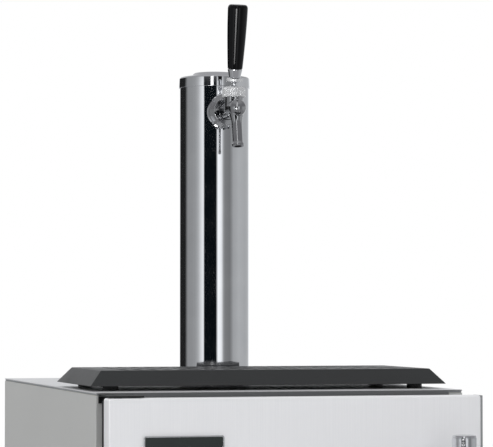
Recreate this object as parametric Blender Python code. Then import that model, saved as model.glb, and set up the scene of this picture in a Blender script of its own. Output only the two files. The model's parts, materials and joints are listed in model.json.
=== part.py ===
"""An outdoor beer dispenser: a single-tap tower and drip tray on a narrow undercounter keg cooler.

Metres, +Z up. X runs to the right, Y to the back, and the door faces -Y. The origin is on the floor,
under the centre of the whole object's box. Tower and tap sizes along Y are reaches: distances in front
of the tower's axis.
"""

from math import asin, cos, pi, radians, sin

import bmesh
import bpy
from mathutils import Matrix, Vector

MM = 0.001

# Fits
CLEARANCE = 0.3 * MM
OVERRUN = 5 * MM
SEALING_OVERLAP = 1 * MM
SMALL_SIDES = 12
ROUND_SIDES = 20
TOWER_SIDES = 36
PASSAGE_SIDES = 18

# Cabinet
CABINET_WIDTH = 378 * MM
BODY_DEPTH = 530 * MM
CABINET_HEIGHT = 864 * MM
SHEET = 1.0 * MM
WALL_STACK = 40 * MM
CEILING_STACK = 45 * MM
BACK_STACK = 45 * MM
FLOOR_STACK = 30 * MM
BODY_FLOOR_HEIGHT = 100 * MM
LINER_SHEET = 2 * MM
FRAME_SHEET = 2 * MM
RETURN_FLANGE = 14 * MM
TOP_SHEET = 1.2 * MM
TOP_SEAM = 1.8 * MM
TOP_FLANGE = 22 * MM
LINE_HOLE_RADIUS = 22 * MM

# Machine space behind the step in the liner, and its base pan
STEP_DEPTH = 200 * MM
STEP_HEIGHT = 270 * MM
PAN_HEIGHT = 30 * MM
PAN_SHEET = 1.5 * MM
PAN_LIP = 22 * MM
VENT_WIDTH = 190 * MM
VENT_HEIGHT = 5 * MM
VENT_PITCH = 14 * MM
VENT_COUNT = 6
VENT_START_HEIGHT = 125 * MM

# Toe-kick grille
KICK_SHEET = 1.2 * MM
KICK_MARGIN = 29.7 * MM
KICK_RIB = 16 * MM
KICK_SLOT_HEIGHT = 5 * MM
KICK_SLOT_PITCH = 11 * MM
KICK_SLOT_ROWS = 5

# Levelling feet
FOOT_RADIUS = 18 * MM
FOOT_PAD_HEIGHT = 10 * MM
FOOT_CROWN = 3 * MM
FOOT_STEM_RADIUS = 4 * MM
FOOT_NUT_RADIUS = 8 * MM
FOOT_NUT_HEIGHT = 6 * MM
FOOT_STEM_RISE = 12 * MM
FOOT_INSET_X = 32 * MM
FOOT_INSET_Y = 40 * MM

# Keg floor plate
KEG_PLATE_SHEET = 2 * MM
KEG_PLATE_INSET = 8 * MM
KEG_RING_SIDE_GAP = 23 * MM
KEG_RING_WALL = 4 * MM
KEG_RING_RISE = 6 * MM

# Evaporator plate
EVAPORATOR_SIDE_GAP = 29 * MM
EVAPORATOR_HEIGHT = 380 * MM
EVAPORATOR_SHEET = 2 * MM
EVAPORATOR_CHANNEL = 8 * MM
EVAPORATOR_CHANNEL_RISE = 3 * MM
EVAPORATOR_CHANNELS = 7
EVAPORATOR_FLOOR_GAP = 30 * MM

# Fan housing, fan and thermostat knob
HOUSING_SIDE_GAP = 24 * MM
HOUSING_HEIGHT = 112 * MM
HOUSING_DEPTH = 34 * MM
HOUSING_WALL = 2 * MM
FAN_OPENING_RADIUS = 44 * MM
FAN_RADIUS = 40 * MM
FAN_HUB_RADIUS = 13 * MM
FAN_HUB_DEPTH = 12 * MM
FAN_BLADES = 7
FAN_BLADE_SHEET = 1.2 * MM
FAN_BLADE_CHORD = 18 * MM
FAN_BLADE_PITCH = 28
GUARD_BAR = 4 * MM
GUARD_RING_RADIUS = 28 * MM
MOTOR_RADIUS = 15 * MM
MOTOR_DEPTH = 8 * MM
KNOB_INSET = 37 * MM
KNOB_RADIUS = 15 * MM
KNOB_DEPTH = 14 * MM
KNOB_GRIP = 5 * MM
KNOB_GRIP_RISE = 5 * MM
KNOB_SHAFT_RADIUS = 3 * MM
KNOB_SHAFT_LENGTH = 8 * MM

# Compressor and its mount
COMPRESSOR_RADIUS = 64 * MM
COMPRESSOR_HEIGHT = 142 * MM
COMPRESSOR_SEAM = 3 * MM
COMPRESSOR_SIDE_GAP = 44 * MM
COMPRESSOR_BACK_GAP = 12 * MM
TERMINAL_WIDTH = 46 * MM
TERMINAL_HEIGHT = 40 * MM
TERMINAL_DEPTH = 20 * MM
MOUNT_WIDTH = 170 * MM
MOUNT_DEPTH = 110 * MM
MOUNT_SHEET = 3 * MM
MOUNT_FOOT_RADIUS = 10 * MM
MOUNT_FOOT_HEIGHT = 9 * MM
MOUNT_FOOT_INSET = 14 * MM

# Condenser coil
COIL_TUBE_RADIUS = 3 * MM
COIL_SIDE_GAP = 59 * MM
COIL_BEND_RADIUS = 14 * MM
COIL_PASSES = 6
COIL_FRONT_GAP = 60 * MM
COIL_HEIGHT = 26 * MM
COIL_BEND_POINTS = 6
COIL_BAR_WIDTH = 6 * MM
COIL_BAR_INSET = 38 * MM

# Mains inlet
INLET_WIDTH = 30 * MM
INLET_HEIGHT = 22 * MM
INLET_DEPTH = 22 * MM
INLET_FLANGE = 4 * MM
INLET_FLANGE_SHEET = 1.5 * MM
INLET_WALL = 2.5 * MM
INLET_SIDE_INSET = 59 * MM
INLET_RISE = 40 * MM

# Gas cylinder, valve and handwheel
CYLINDER_RADIUS = 54 * MM
CYLINDER_HEIGHT = 335 * MM
CYLINDER_SHOULDER = 46 * MM
CYLINDER_NECK_RADIUS = 17 * MM
CYLINDER_NECK_HEIGHT = 14 * MM
CYLINDER_SIDE_GAP = 15 * MM
CYLINDER_BACK_GAP = 16 * MM
CYLINDER_BASE_RADIUS = 40 * MM
VALVE_RADIUS = 12 * MM
VALVE_HEIGHT = 44 * MM
VALVE_OUTLET_RADIUS = 10 * MM
VALVE_OUTLET_REACH = 34 * MM
VALVE_OUTLET_RISE = 22 * MM
VALVE_SPINDLE_RADIUS = 4 * MM
VALVE_SPINDLE_RISE = 10 * MM
WHEEL_RADIUS = 20 * MM
WHEEL_HEIGHT = 14 * MM
WHEEL_LOBES = 8
WHEEL_LOBE_RADIUS = 4 * MM
WHEEL_ROOF = 2.5 * MM

# Regulator, its gauges and knob
REGULATOR_NUT_RADIUS = 13 * MM
REGULATOR_NUT_LENGTH = 12 * MM
REGULATOR_RADIUS = 24 * MM
REGULATOR_DEPTH = 28 * MM
REGULATOR_BONNET_RADIUS = 15 * MM
REGULATOR_BONNET_DEPTH = 10 * MM
REGULATOR_PORT_RADIUS = 6 * MM
REGULATOR_PORT_REACH = 8 * MM
BARB_RADIUS = 5 * MM
BARB_REACH = 22 * MM
GAUGE_RADIUS = 21 * MM
GAUGE_DEPTH = 20 * MM
GAUGE_RIM = 2 * MM
GAUGE_RECESS = 2 * MM
REGULATOR_KNOB_RADIUS = 13 * MM
REGULATOR_KNOB_DEPTH = 20 * MM
REGULATOR_SCREW_RADIUS = 4 * MM
REGULATOR_SCREW_LENGTH = 10 * MM

# Keg coupler
COUPLER_SIDE_GAP = 32 * MM
COUPLER_BACK_GAP = 46 * MM
COUPLER_BASE_RADIUS = 29 * MM
COUPLER_BASE_HEIGHT = 12 * MM
COUPLER_SOCKET_RADIUS = 21 * MM
COUPLER_SOCKET_DEPTH = 9 * MM
COUPLER_WAIST_RADIUS = 18 * MM
COUPLER_HEIGHT = 66 * MM
COUPLER_PORT_RADIUS = 6 * MM
COUPLER_PORT_REACH = 36 * MM
COUPLER_PORT_RISE = 26 * MM
PROBE_RADIUS = 8 * MM
PROBE_BORE_RADIUS = 3.5 * MM
PROBE_HEIGHT = 98 * MM
PROBE_NUT_RADIUS = 13 * MM
PROBE_NUT_HEIGHT = 12 * MM
PROBE_TRAVEL = 12 * MM
YOKE_SHEET = 4 * MM
YOKE_WIDTH = 10 * MM
YOKE_REACH = 32 * MM
YOKE_PIVOT_RISE = 54 * MM
YOKE_PIN_RADIUS = 2.5 * MM
YOKE_PIN_LENGTH = 4 * MM
COUPLER_GRIP_RADIUS = 7 * MM
COUPLER_GRIP_LENGTH = 74 * MM
COUPLER_LEVER_ANGLE = 55

# Door
DOOR_DEPTH = 59 * MM
DOOR_TOP_GAP = 3.8 * MM
DOOR_PAN_DEPTH = 22 * MM
DOOR_SHEET = 1.0 * MM
DOOR_CORNER = 2 * MM
DOOR_LINER_INSET = 3 * MM
DOOR_LINER_SHEET = 2 * MM
GASKET_THICKNESS = 13 * MM
GASKET_INSET = 10 * MM
GASKET_WIDTH = 15 * MM
HINGE_INSET_X = 12 * MM
HINGE_INSET_Y = 14 * MM

# Door hinges
HINGE_PLATE = 2 * MM
HINGE_PLATE_WIDTH = 34 * MM
HINGE_PIN_RADIUS = 4 * MM
HINGE_PIN_LENGTH = 16 * MM
HINGE_TAB_HEIGHT = 9 * MM
HINGE_TAB_SHEET = 1.5 * MM
HINGE_EDGE_INSET = 2 * MM
HINGE_DOOR_GAP = 0.5 * MM

# Door handle and badge plate
HANDLE_DIAMETER = 24 * MM
HANDLE_GAP = 40 * MM
HANDLE_EDGE_INSET = 39 * MM
HANDLE_END_INSET = 35.7 * MM
HANDLE_CROWN = 1.5 * MM
HANDLE_POST_RADIUS = 8 * MM
HANDLE_POST_INSET = 45 * MM
BADGE_WIDTH = 79 * MM
BADGE_HEIGHT = 24 * MM
BADGE_THICKNESS = 1.6 * MM
BADGE_BORDER = 1.2 * MM
BADGE_BORDER_RISE = 0.5 * MM
BADGE_TOP_INSET = 36 * MM
BADGE_SIDE_INSET = 34 * MM

# Tower
TOWER_SETBACK = 273 * MM
TOWER_DIAMETER = 76.2 * MM
TOWER_WALL = 1.5 * MM
TOWER_HEIGHT = 335 * MM
BASE_RING_HEIGHT = 6 * MM
BASE_RING_WALL = 2.2 * MM
CAP_LAP = 10 * MM
CAP_BAND_HEIGHT = 11.6 * MM
CAP_WALL = 0.8 * MM
CAP_SLOPE_RISE = 2.2 * MM
CAP_STEP_RISE = 3.0 * MM
CAP_CROWN_RISE = 1.0 * MM
TOWER_FLANGE_SPIGOT = 20 * MM
TOWER_FLANGE_WALL = 4 * MM
TOWER_FLANGE_WEB = 3 * MM
TOWER_FLANGE_BORE = 16 * MM
SLEEVE_DROP = 40 * MM
SLEEVE_BORE = 9 * MM
LINE_RADIUS = 5.5 * MM
LINE_BORE = 3 * MM
LINE_DROP = 15 * MM
LINE_TOP_DROP = 28 * MM

# Shank, its flange, nut and elbow, and the coupling nut
SHANK_DROP = 39 * MM
SHANK_RADIUS = 10.8 * MM
SHANK_BORE = 4 * MM
WALL_FLANGE_RADIUS = 17 * MM
WALL_FLANGE_STAND = 5.4 * MM
SHANK_ENTRY = 3 * MM
SHANK_TAIL_REACH = 10 * MM
SHANK_NUT_RADIUS = 15 * MM
SHANK_NUT_LENGTH = 9 * MM
ELBOW_RADIUS = 7 * MM
COUPLING_NUT_RADIUS = 19 * MM
COUPLING_NUT_LENGTH = 13.5 * MM
COUPLING_NUT_LIP = 3 * MM
COUPLING_NUT_NOTCHES = 6
COUPLING_NOTCH_WIDTH = 7 * MM
COUPLING_NOTCH_DEPTH = 2.6 * MM

# Faucet body, reaches from the tower's axis and rises from the shank's axis
PIVOT_REACH = 84 * MM
PIVOT_RISE = 18 * MM
TAIL_RADIUS = 11 * MM
TAIL_LENGTH = 7 * MM
BARREL_RADIUS = 9.4 * MM
NOSE_OVERREACH = 14.5 * MM
HEAD_RADIUS = 9.8 * MM
HEAD_RISE = 16.5 * MM
HEAD_DROP = 2 * MM
BALL_WELL_RADIUS = 8.4 * MM
BALL_WELL_RISE = 5 * MM
VALVE_CHAMBER_RADIUS = 7.5 * MM
VALVE_SEAT_SETBACK = 18 * MM
VALVE_SEAT_LENGTH = 2.5 * MM
VALVE_SEAT_BORE = 4.5 * MM
LEVER_CHAMBER_RADIUS = 6.3 * MM
LEVER_CHAMBER_FRONT = 12 * MM
SPOUT_OVERREACH = 9 * MM
SPOUT_LEAN = 11
SPOUT_LENGTH = 42 * MM
SPOUT_FUNNEL_LENGTH = 18 * MM
SPOUT_TOP_RADIUS = 8.4 * MM
SPOUT_RADIUS = 5.5 * MM
SPOUT_LIP_RADIUS = 6.5 * MM
SPOUT_LIP_LENGTH = 4 * MM
SPOUT_BORE = 3.9 * MM

# Valve shaft
WASHER_RADIUS = 6.8 * MM
WASHER_LENGTH = 2.5 * MM
SHAFT_RADIUS = 3 * MM
SHAFT_SLOT_LENGTH = 8.4 * MM
SHAFT_OVERREACH = 5.4 * MM
SHAFT_SLOT_WIDTH = 4.3 * MM

# Bonnet
BONNET_RADIUS = 12.4 * MM
BONNET_HEIGHT = 11 * MM
BONNET_OVERLAP = 4 * MM
BONNET_CHAMFER = 2.8 * MM
BONNET_LIP_RADIUS = 7.4 * MM
BONNET_LIP_HEIGHT = 1.5 * MM
BONNET_FLUTES = 16
BONNET_FLUTE_RADIUS = 1.3 * MM

# Lever, ferrule and handle, heights along the lever from its pivot
BALL_RADIUS = 8 * MM
LEVER_PIN_RADIUS = 1.8 * MM
LEVER_PIN_OVERREACH = 3 * MM
LEVER_NECK_RADIUS = 2.6 * MM
LEVER_NECK_HEIGHT = 9.6 * MM
LEVER_CONE_HEIGHT = 2.0 * MM
LEVER_COLLAR_RADIUS = 8.5 * MM
LEVER_COLLAR_HEIGHT = 3.4 * MM
LEVER_STUD_RADIUS = 4.4 * MM
LEVER_STUD_LENGTH = 20 * MM
LEVER_LEAN = 10.5
FERRULE_HEIGHT = 9.2 * MM
FERRULE_FOOT_RADIUS = 6.0 * MM
FERRULE_TOP_RADIUS = 7.8 * MM
HANDLE_HEIGHT = 68.8 * MM
HANDLE_FOOT_RADIUS = 8.0 * MM
HANDLE_TOP_RADIUS = 10.8 * MM
HANDLE_BORE_CLEARANCE = 2 * MM
HANDLE_ROUNDING = 3 * MM

# Drip tray and its grid
TRAY_SETBACK = 40 * MM
TRAY_DEPTH = 178 * MM
TRAY_SIDE_INSET = 2.5 * MM
TRAY_HEIGHT = 15.5 * MM
TRAY_SLOPE_INSET = 13.5 * MM
TRAY_UNDERSIDE_GAP = 4.8 * MM
TRAY_RIM = 8 * MM
TRAY_WELL_DEPTH = 11 * MM
TRAY_LEDGE = 5 * MM
TRAY_LIP = 14 * MM
TRAY_FOOT_RADIUS = 8 * MM
TRAY_FOOT_INSET = 26 * MM
GRID_SHEET = 1.8 * MM
GRID_SLOT_LENGTH = 56 * MM
GRID_SLOT_WIDTH = 5 * MM
GRID_END_MARGIN = 22.2 * MM
GRID_SLOT_SPACING = 66 * MM
GRID_SLOT_COLUMNS = 20
GRID_SLOT_ROWS = 2

# Planes and places that several pieces share
OVERALL_DEPTH = HANDLE_DIAMETER + HANDLE_GAP + DOOR_DEPTH + BODY_DEPTH
BODY_FRONT = OVERALL_DEPTH / 2 - BODY_DEPTH
BODY_BACK = OVERALL_DEPTH / 2
SIDE = CABINET_WIDTH / 2
INSIDE_SIDE = SIDE - SHEET - CLEARANCE
SHEET_TOP = CABINET_HEIGHT - TOP_SHEET - TOP_SEAM
INNER_SIDE = SIDE - WALL_STACK
CEILING = CABINET_HEIGHT - CEILING_STACK
LINER_FRONT = BODY_FRONT + FRAME_SHEET + CLEARANCE
LINER_BACK = BODY_BACK - BACK_STACK
LINER_FLOOR = BODY_FLOOR_HEIGHT + FLOOR_STACK
STEP_FRONT = BODY_BACK - STEP_DEPTH
MACHINE_FRONT = STEP_FRONT + FLOOR_STACK
MACHINE_TOP = STEP_HEIGHT - FLOOR_STACK
PAN_FLOOR = PAN_HEIGHT + PAN_SHEET
DOOR_FRONT = BODY_FRONT - DOOR_DEPTH
DOOR_TOP = CABINET_HEIGHT - DOOR_TOP_GAP
DOOR_BOTTOM = BODY_FLOOR_HEIGHT
PAN_BACK = DOOR_FRONT + DOOR_PAN_DEPTH
HINGE_X = HINGE_INSET_X - SIDE
HINGE_Y = DOOR_FRONT + HINGE_INSET_Y
TOWER_Y = BODY_FRONT + TOWER_SETBACK
TOWER_RADIUS = TOWER_DIAMETER / 2
TOWER_INSIDE = TOWER_RADIUS - TOWER_WALL
CAP_EDGE_Z = CABINET_HEIGHT + TOWER_HEIGHT - CAP_LAP
SHANK_Z = CABINET_HEIGHT + TOWER_HEIGHT - SHANK_DROP
FLANGE_REACH = TOWER_RADIUS + WALL_FLANGE_STAND
NUT_REACH = FLANGE_REACH + CLEARANCE
SHANK_REACH = NUT_REACH + SHANK_ENTRY
TAIL_REACH = SHANK_REACH + CLEARANCE
PIVOT = Vector((0, TOWER_Y - PIVOT_REACH, SHANK_Z + PIVOT_RISE))
LEVER_AXIS = Vector((0, -sin(radians(LEVER_LEAN)), cos(radians(LEVER_LEAN))))
SPOUT_AXIS = Vector((0, -sin(radians(SPOUT_LEAN)), -cos(radians(SPOUT_LEAN))))
COLLAR_FOOT = LEVER_NECK_HEIGHT + LEVER_CONE_HEIGHT
COLLAR_TOP = COLLAR_FOOT + LEVER_COLLAR_HEIGHT
COMPRESSOR_X = COMPRESSOR_SIDE_GAP + MOUNT_WIDTH / 2 - SIDE
INLET_X = SIDE - INLET_SIDE_INSET
CYLINDER_X = CYLINDER_SIDE_GAP + CYLINDER_RADIUS - INNER_SIDE
CYLINDER_Y = LINER_BACK - CYLINDER_BACK_GAP - CYLINDER_RADIUS
CYLINDER_TOP = STEP_HEIGHT + CLEARANCE + CYLINDER_HEIGHT
VALVE_FOOT = CYLINDER_TOP + CLEARANCE
OUTLET_Z = VALVE_FOOT + VALVE_OUTLET_RISE
REGULATOR_X = CYLINDER_X + VALVE_OUTLET_REACH + CLEARANCE + REGULATOR_NUT_LENGTH + REGULATOR_RADIUS
COUPLER_X = INNER_SIDE - COUPLER_SIDE_GAP - COUPLER_BASE_RADIUS
COUPLER_Y = LINER_BACK - COUPLER_BACK_GAP - COUPLER_BASE_RADIUS
COUPLER_FOOT = STEP_HEIGHT + CLEARANCE
PROBE_TIP_RISE = COUPLER_BASE_HEIGHT + PROBE_TRAVEL
TRAY_FRONT = BODY_FRONT + TRAY_SETBACK
TRAY_FOOT = CABINET_HEIGHT + TRAY_UNDERSIDE_GAP
TRAY_MIDDLE_Y = TRAY_FRONT + TRAY_DEPTH / 2
TRAY_SIDE = SIDE - TRAY_SIDE_INSET

X, Y, Z = Vector((1, 0, 0)), Vector((0, 1, 0)), Vector((0, 0, 1))

# Colour, roughness and metallic value of each finish
FINISHES = {
    "brushed_stainless": ((0.66, 0.66, 0.67), 0.34, 1.0),
    "polished_chrome": ((0.80, 0.80, 0.81), 0.06, 1.0),
    "galvanised_steel": ((0.55, 0.57, 0.58), 0.5, 1.0),
    "black_enamel": ((0.02, 0.02, 0.022), 0.35, 0.0),
    "black_moulding": ((0.055, 0.058, 0.06), 0.5, 0.0),
    "black_resin": ((0.012, 0.012, 0.014), 0.18, 0.0),
    "liner_plastic": ((0.62, 0.64, 0.65), 0.4, 0.0),
    "grey_plastic": ((0.3, 0.31, 0.32), 0.45, 0.0),
    "foam": ((0.78, 0.7, 0.5), 0.9, 0.0),
    "gasket_rubber": ((0.03, 0.03, 0.032), 0.7, 0.0),
    "aluminium": ((0.72, 0.73, 0.74), 0.4, 1.0),
    "copper": ((0.68, 0.33, 0.2), 0.35, 1.0),
    "brass": ((0.7, 0.52, 0.24), 0.25, 1.0),
    "gauge_case": ((0.75, 0.75, 0.76), 0.2, 1.0),
    "line_vinyl": ((0.75, 0.78, 0.78), 0.3, 0.0),
}


def clear_scene():
    """Removes the objects of the scene that the script starts in."""
    for old in list(bpy.data.objects):
        bpy.data.objects.remove(old, do_unlink=True)


def finish(name):
    """The material of one finish, made once."""
    found = bpy.data.materials.get(name)
    if found:
        return found
    colour, roughness, metallic = FINISHES[name]
    made = bpy.data.materials.new(name)
    made.use_nodes = True
    shader = made.node_tree.nodes["Principled BSDF"]
    shader.inputs["Base Color"].default_value = (*colour, 1)
    shader.inputs["Roughness"].default_value = roughness
    shader.inputs["Metallic"].default_value = metallic
    return made


def piece(name, shape, coat=None, smooth=False):
    """Turns a closed bmesh into a named object. A piece with no coat is a cutter or a helper."""
    bmesh.ops.recalc_face_normals(shape, faces=shape.faces)
    mesh = bpy.data.meshes.new(name)
    shape.to_mesh(mesh)
    shape.free()
    if smooth:
        mesh.shade_smooth()
        mesh.set_sharp_from_angle(angle=radians(35))
    made = bpy.data.objects.new(name, mesh)
    bpy.context.collection.objects.link(made)
    if coat:
        mesh.materials.append(finish(coat))
    else:
        made.hide_render = True
        made.display_type = "WIRE"
    return made


def box_shape(low, high):
    """The bmesh of a box between two corners."""
    shape = bmesh.new()
    bmesh.ops.create_cube(shape, size=1)
    low, high = Vector(low), Vector(high)
    bmesh.ops.scale(shape, vec=high - low, verts=shape.verts)
    bmesh.ops.translate(shape, vec=(low + high) / 2, verts=shape.verts)
    return shape


def block(name, low, high, coat=None):
    """A box between two corners, as a named object."""
    return piece(name, box_shape(low, high), coat)


def prism(name, outline, axis, low, high, coat=None, smooth=False):
    """An outline pushed along X, Y or Z. Its points hold the other two coordinates, in that order."""
    along = "XYZ".index(axis)
    shape = bmesh.new()
    corners = []
    for first, second in outline:
        place = [first, second]
        place.insert(along, low)
        corners.append(shape.verts.new(place))
    face = shape.faces.new(corners)
    pushed = bmesh.ops.extrude_face_region(shape, geom=[face])["geom"]
    moved = [item for item in pushed if isinstance(item, bmesh.types.BMVert)]
    bmesh.ops.translate(shape, vec=(X, Y, Z)[along] * (high - low), verts=moved)
    return piece(name, shape, coat, smooth)


def turned(name, profile, base, direction=Z, coat=None, sides=ROUND_SIDES, ring=False):
    """A profile of (radius, height) points spun about an axis that starts at base."""
    shape = bmesh.new()
    points = [shape.verts.new((radius, 0, height)) for radius, height in profile]
    for start, end in zip(points, points[1:]):
        shape.edges.new((start, end))
    if ring:
        shape.edges.new((points[-1], points[0]))
    bmesh.ops.spin(
        shape,
        geom=shape.verts[:] + shape.edges[:],
        axis=Z,
        cent=(0, 0, 0),
        angle=2 * pi,
        steps=sides,
        use_merge=True,
    )
    bmesh.ops.remove_doubles(shape, verts=shape.verts, dist=CLEARANCE / 100)
    turn = Z.rotation_difference(Vector(direction)).to_matrix().to_4x4()
    bmesh.ops.transform(shape, matrix=Matrix.Translation(base) @ turn, verts=shape.verts)
    return piece(name, shape, coat, smooth=True)


def rod(name, radius, base, direction, length, coat=None, sides=SMALL_SIDES):
    """A plain round bar from base along a direction."""
    return turned(name, [(0, 0), (radius, 0), (radius, length), (0, length)], base, direction, coat, sides)


def tube(name, radius, bore, base, direction, length, coat=None, sides=ROUND_SIDES):
    """A round bar with a bore all the way through."""
    profile = [(radius, 0), (radius, length), (bore, length), (bore, 0)]
    return turned(name, profile, base, direction, coat, sides, ring=True)


def hexagon(radius):
    """The corners of a nut, of that radius across its corners."""
    return [(radius * cos(pi * k / 3), radius * sin(pi * k / 3)) for k in range(6)]


def gather(name, helpers):
    """Makes one helper of several that don't touch each other."""
    shape = bmesh.new()
    for helper in helpers:
        shape.from_mesh(helper.data)
        bpy.data.objects.remove(helper, do_unlink=True)
    return piece(name, shape)


def boolean(target, operation, others):
    """Adds one live Boolean for each helper, in order."""
    for other in others:
        made = target.modifiers.new(f"{operation.lower()} {other.name}", "BOOLEAN")
        made.operation = operation
        made.solver = "EXACT"
        made.object = other
    return target


def cut(target, *others):
    """Takes the helpers' space out of the target."""
    return boolean(target, "DIFFERENCE", others)


def join(target, *others):
    """Makes the helpers part of the target."""
    return boolean(target, "UNION", others)


def joint(name, place):
    """An empty on a joint's axis, which carries what moves there."""
    made = bpy.data.objects.new(name, None)
    made.location = place
    made.empty_display_size = CLEARANCE * 100
    bpy.context.collection.objects.link(made)
    return made


def carry(empty, *pieces):
    """Parents pieces to a joint's empty, with their origins on it."""
    for moving in pieces:
        moving.data.transform(Matrix.Translation(-empty.location))
        moving.parent = empty
        moving.location = (0, 0, 0)


def slots(name, columns, rows, pitch, spacing, size, middle, along, across, through):
    """One cutter that holds a grid of slots: columns at a pitch along, rows at a spacing across."""
    shape = bmesh.new()
    for column in range(columns):
        for row in range(rows):
            at = Vector(middle)
            at += along * pitch * (column - (columns - 1) / 2)
            at += across * spacing * (row - (rows - 1) / 2)
            made = bmesh.ops.create_cube(shape, size=1)["verts"]
            length, width = size
            extent = through * OVERRUN * 2
            for axis, side in ((along, width), (across, length)):
                extent = extent + axis * side
            bmesh.ops.scale(shape, vec=extent, verts=made)
            bmesh.ops.translate(shape, vec=at, verts=made)
    return piece(name, shape)


def make_panels():
    """The stainless skin: two sides, the back and the top."""
    for name, side in (("left_side_panel", -1), ("right_side_panel", 1)):
        outline = [
            (side * SIDE, BODY_FRONT),
            (side * SIDE, BODY_BACK),
            (side * (SIDE - SHEET), BODY_BACK),
            (side * (SIDE - SHEET), BODY_FRONT + SHEET),
            (side * (SIDE - RETURN_FLANGE), BODY_FRONT + SHEET),
            (side * (SIDE - RETURN_FLANGE), BODY_FRONT),
        ]
        prism(name, outline, "Z", PAN_HEIGHT, SHEET_TOP, "brushed_stainless")

    back = block(
        "back_panel",
        (-INSIDE_SIDE, BODY_BACK - SHEET, PAN_HEIGHT),
        (INSIDE_SIDE, BODY_BACK, SHEET_TOP),
        "galvanised_steel",
    )
    vents = slots(
        "back_vents",
        VENT_COUNT,
        1,
        VENT_PITCH,
        0,
        (VENT_WIDTH, VENT_HEIGHT),
        (COMPRESSOR_X / 2, BODY_BACK, VENT_START_HEIGHT + VENT_PITCH * (VENT_COUNT - 1) / 2),
        Z,
        X,
        Y,
    )
    inlet_hole = block(
        "inlet_hole",
        (
            INLET_X - INLET_WIDTH / 2 - CLEARANCE,
            BODY_BACK - SHEET - OVERRUN,
            PAN_FLOOR + INLET_RISE - INLET_HEIGHT / 2 - CLEARANCE,
        ),
        (
            INLET_X + INLET_WIDTH / 2 + CLEARANCE,
            BODY_BACK + OVERRUN,
            PAN_FLOOR + INLET_RISE + INLET_HEIGHT / 2 + CLEARANCE,
        ),
    )
    cut(back, vents, inlet_hole)

    top = block(
        "top_panel",
        (-SIDE, BODY_FRONT, CABINET_HEIGHT - TOP_SHEET),
        (SIDE, BODY_BACK, CABINET_HEIGHT),
        "brushed_stainless",
    )
    flange_side = SIDE - RETURN_FLANGE - CLEARANCE
    flange = block(
        "top_flange",
        (-flange_side, BODY_FRONT, CABINET_HEIGHT - TOP_FLANGE),
        (flange_side, BODY_FRONT + SHEET, CABINET_HEIGHT - TOP_SHEET / 2),
    )
    join(top, flange)
    cut(top, line_hole("top_line_hole", CABINET_HEIGHT - TOP_SHEET))


def line_hole(name, bottom):
    """A cutter for the beer line's way, from that height up through the cabinet's top."""
    base = (0, TOWER_Y, bottom - OVERRUN)
    return rod(name, LINE_HOLE_RADIUS, base, Z, CABINET_HEIGHT - bottom + OVERRUN * 2, sides=ROUND_SIDES)


def compartment(grow, front):
    """The keg compartment seen from the side, as (y, z) points, grown outwards by a wall's thickness."""
    return [
        (front, LINER_FLOOR - grow),
        (STEP_FRONT + grow, LINER_FLOOR - grow),
        (STEP_FRONT + grow, STEP_HEIGHT - grow),
        (LINER_BACK + grow, STEP_HEIGHT - grow),
        (LINER_BACK + grow, CEILING + grow),
        (front, CEILING + grow),
    ]


def make_insulated_body():
    """Insulation, inner liner and the face frame between the side returns."""
    foam = block(
        "cabinet_insulation",
        (-INSIDE_SIDE, LINER_FRONT, BODY_FLOOR_HEIGHT),
        (INSIDE_SIDE, BODY_BACK - SHEET - CLEARANCE, CABINET_HEIGHT - TOP_SHEET - CLEARANCE),
        "foam",
    )
    grow = LINER_SHEET + CLEARANCE
    space = prism(
        "liner_space",
        compartment(grow, LINER_FRONT - OVERRUN),
        "X",
        -INNER_SIDE - grow,
        INNER_SIDE + grow,
    )
    machine_space = block(
        "machine_space",
        (-SIDE, MACHINE_FRONT, PAN_HEIGHT),
        (SIDE, BODY_BACK, MACHINE_TOP),
    )
    cut(foam, space, machine_space, line_hole("foam_line_hole", CEILING))

    liner = prism(
        "inner_liner",
        compartment(LINER_SHEET, LINER_FRONT),
        "X",
        -INNER_SIDE - LINER_SHEET,
        INNER_SIDE + LINER_SHEET,
        "liner_plastic",
    )
    inside = prism("liner_inside", compartment(0, LINER_FRONT - OVERRUN), "X", -INNER_SIDE, INNER_SIDE)
    cut(liner, inside, line_hole("liner_line_hole", CEILING))

    frame_side = SIDE - RETURN_FLANGE - CLEARANCE
    frame = block(
        "front_frame",
        (-frame_side, BODY_FRONT, BODY_FLOOR_HEIGHT),
        (frame_side, BODY_FRONT + FRAME_SHEET, CABINET_HEIGHT - TOP_FLANGE - CLEARANCE),
        "grey_plastic",
    )
    mouth = block(
        "frame_mouth",
        (-INNER_SIDE, BODY_FRONT - OVERRUN, LINER_FLOOR),
        (INNER_SIDE, BODY_FRONT + FRAME_SHEET + OVERRUN, CEILING),
    )
    cut(frame, mouth)


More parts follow.
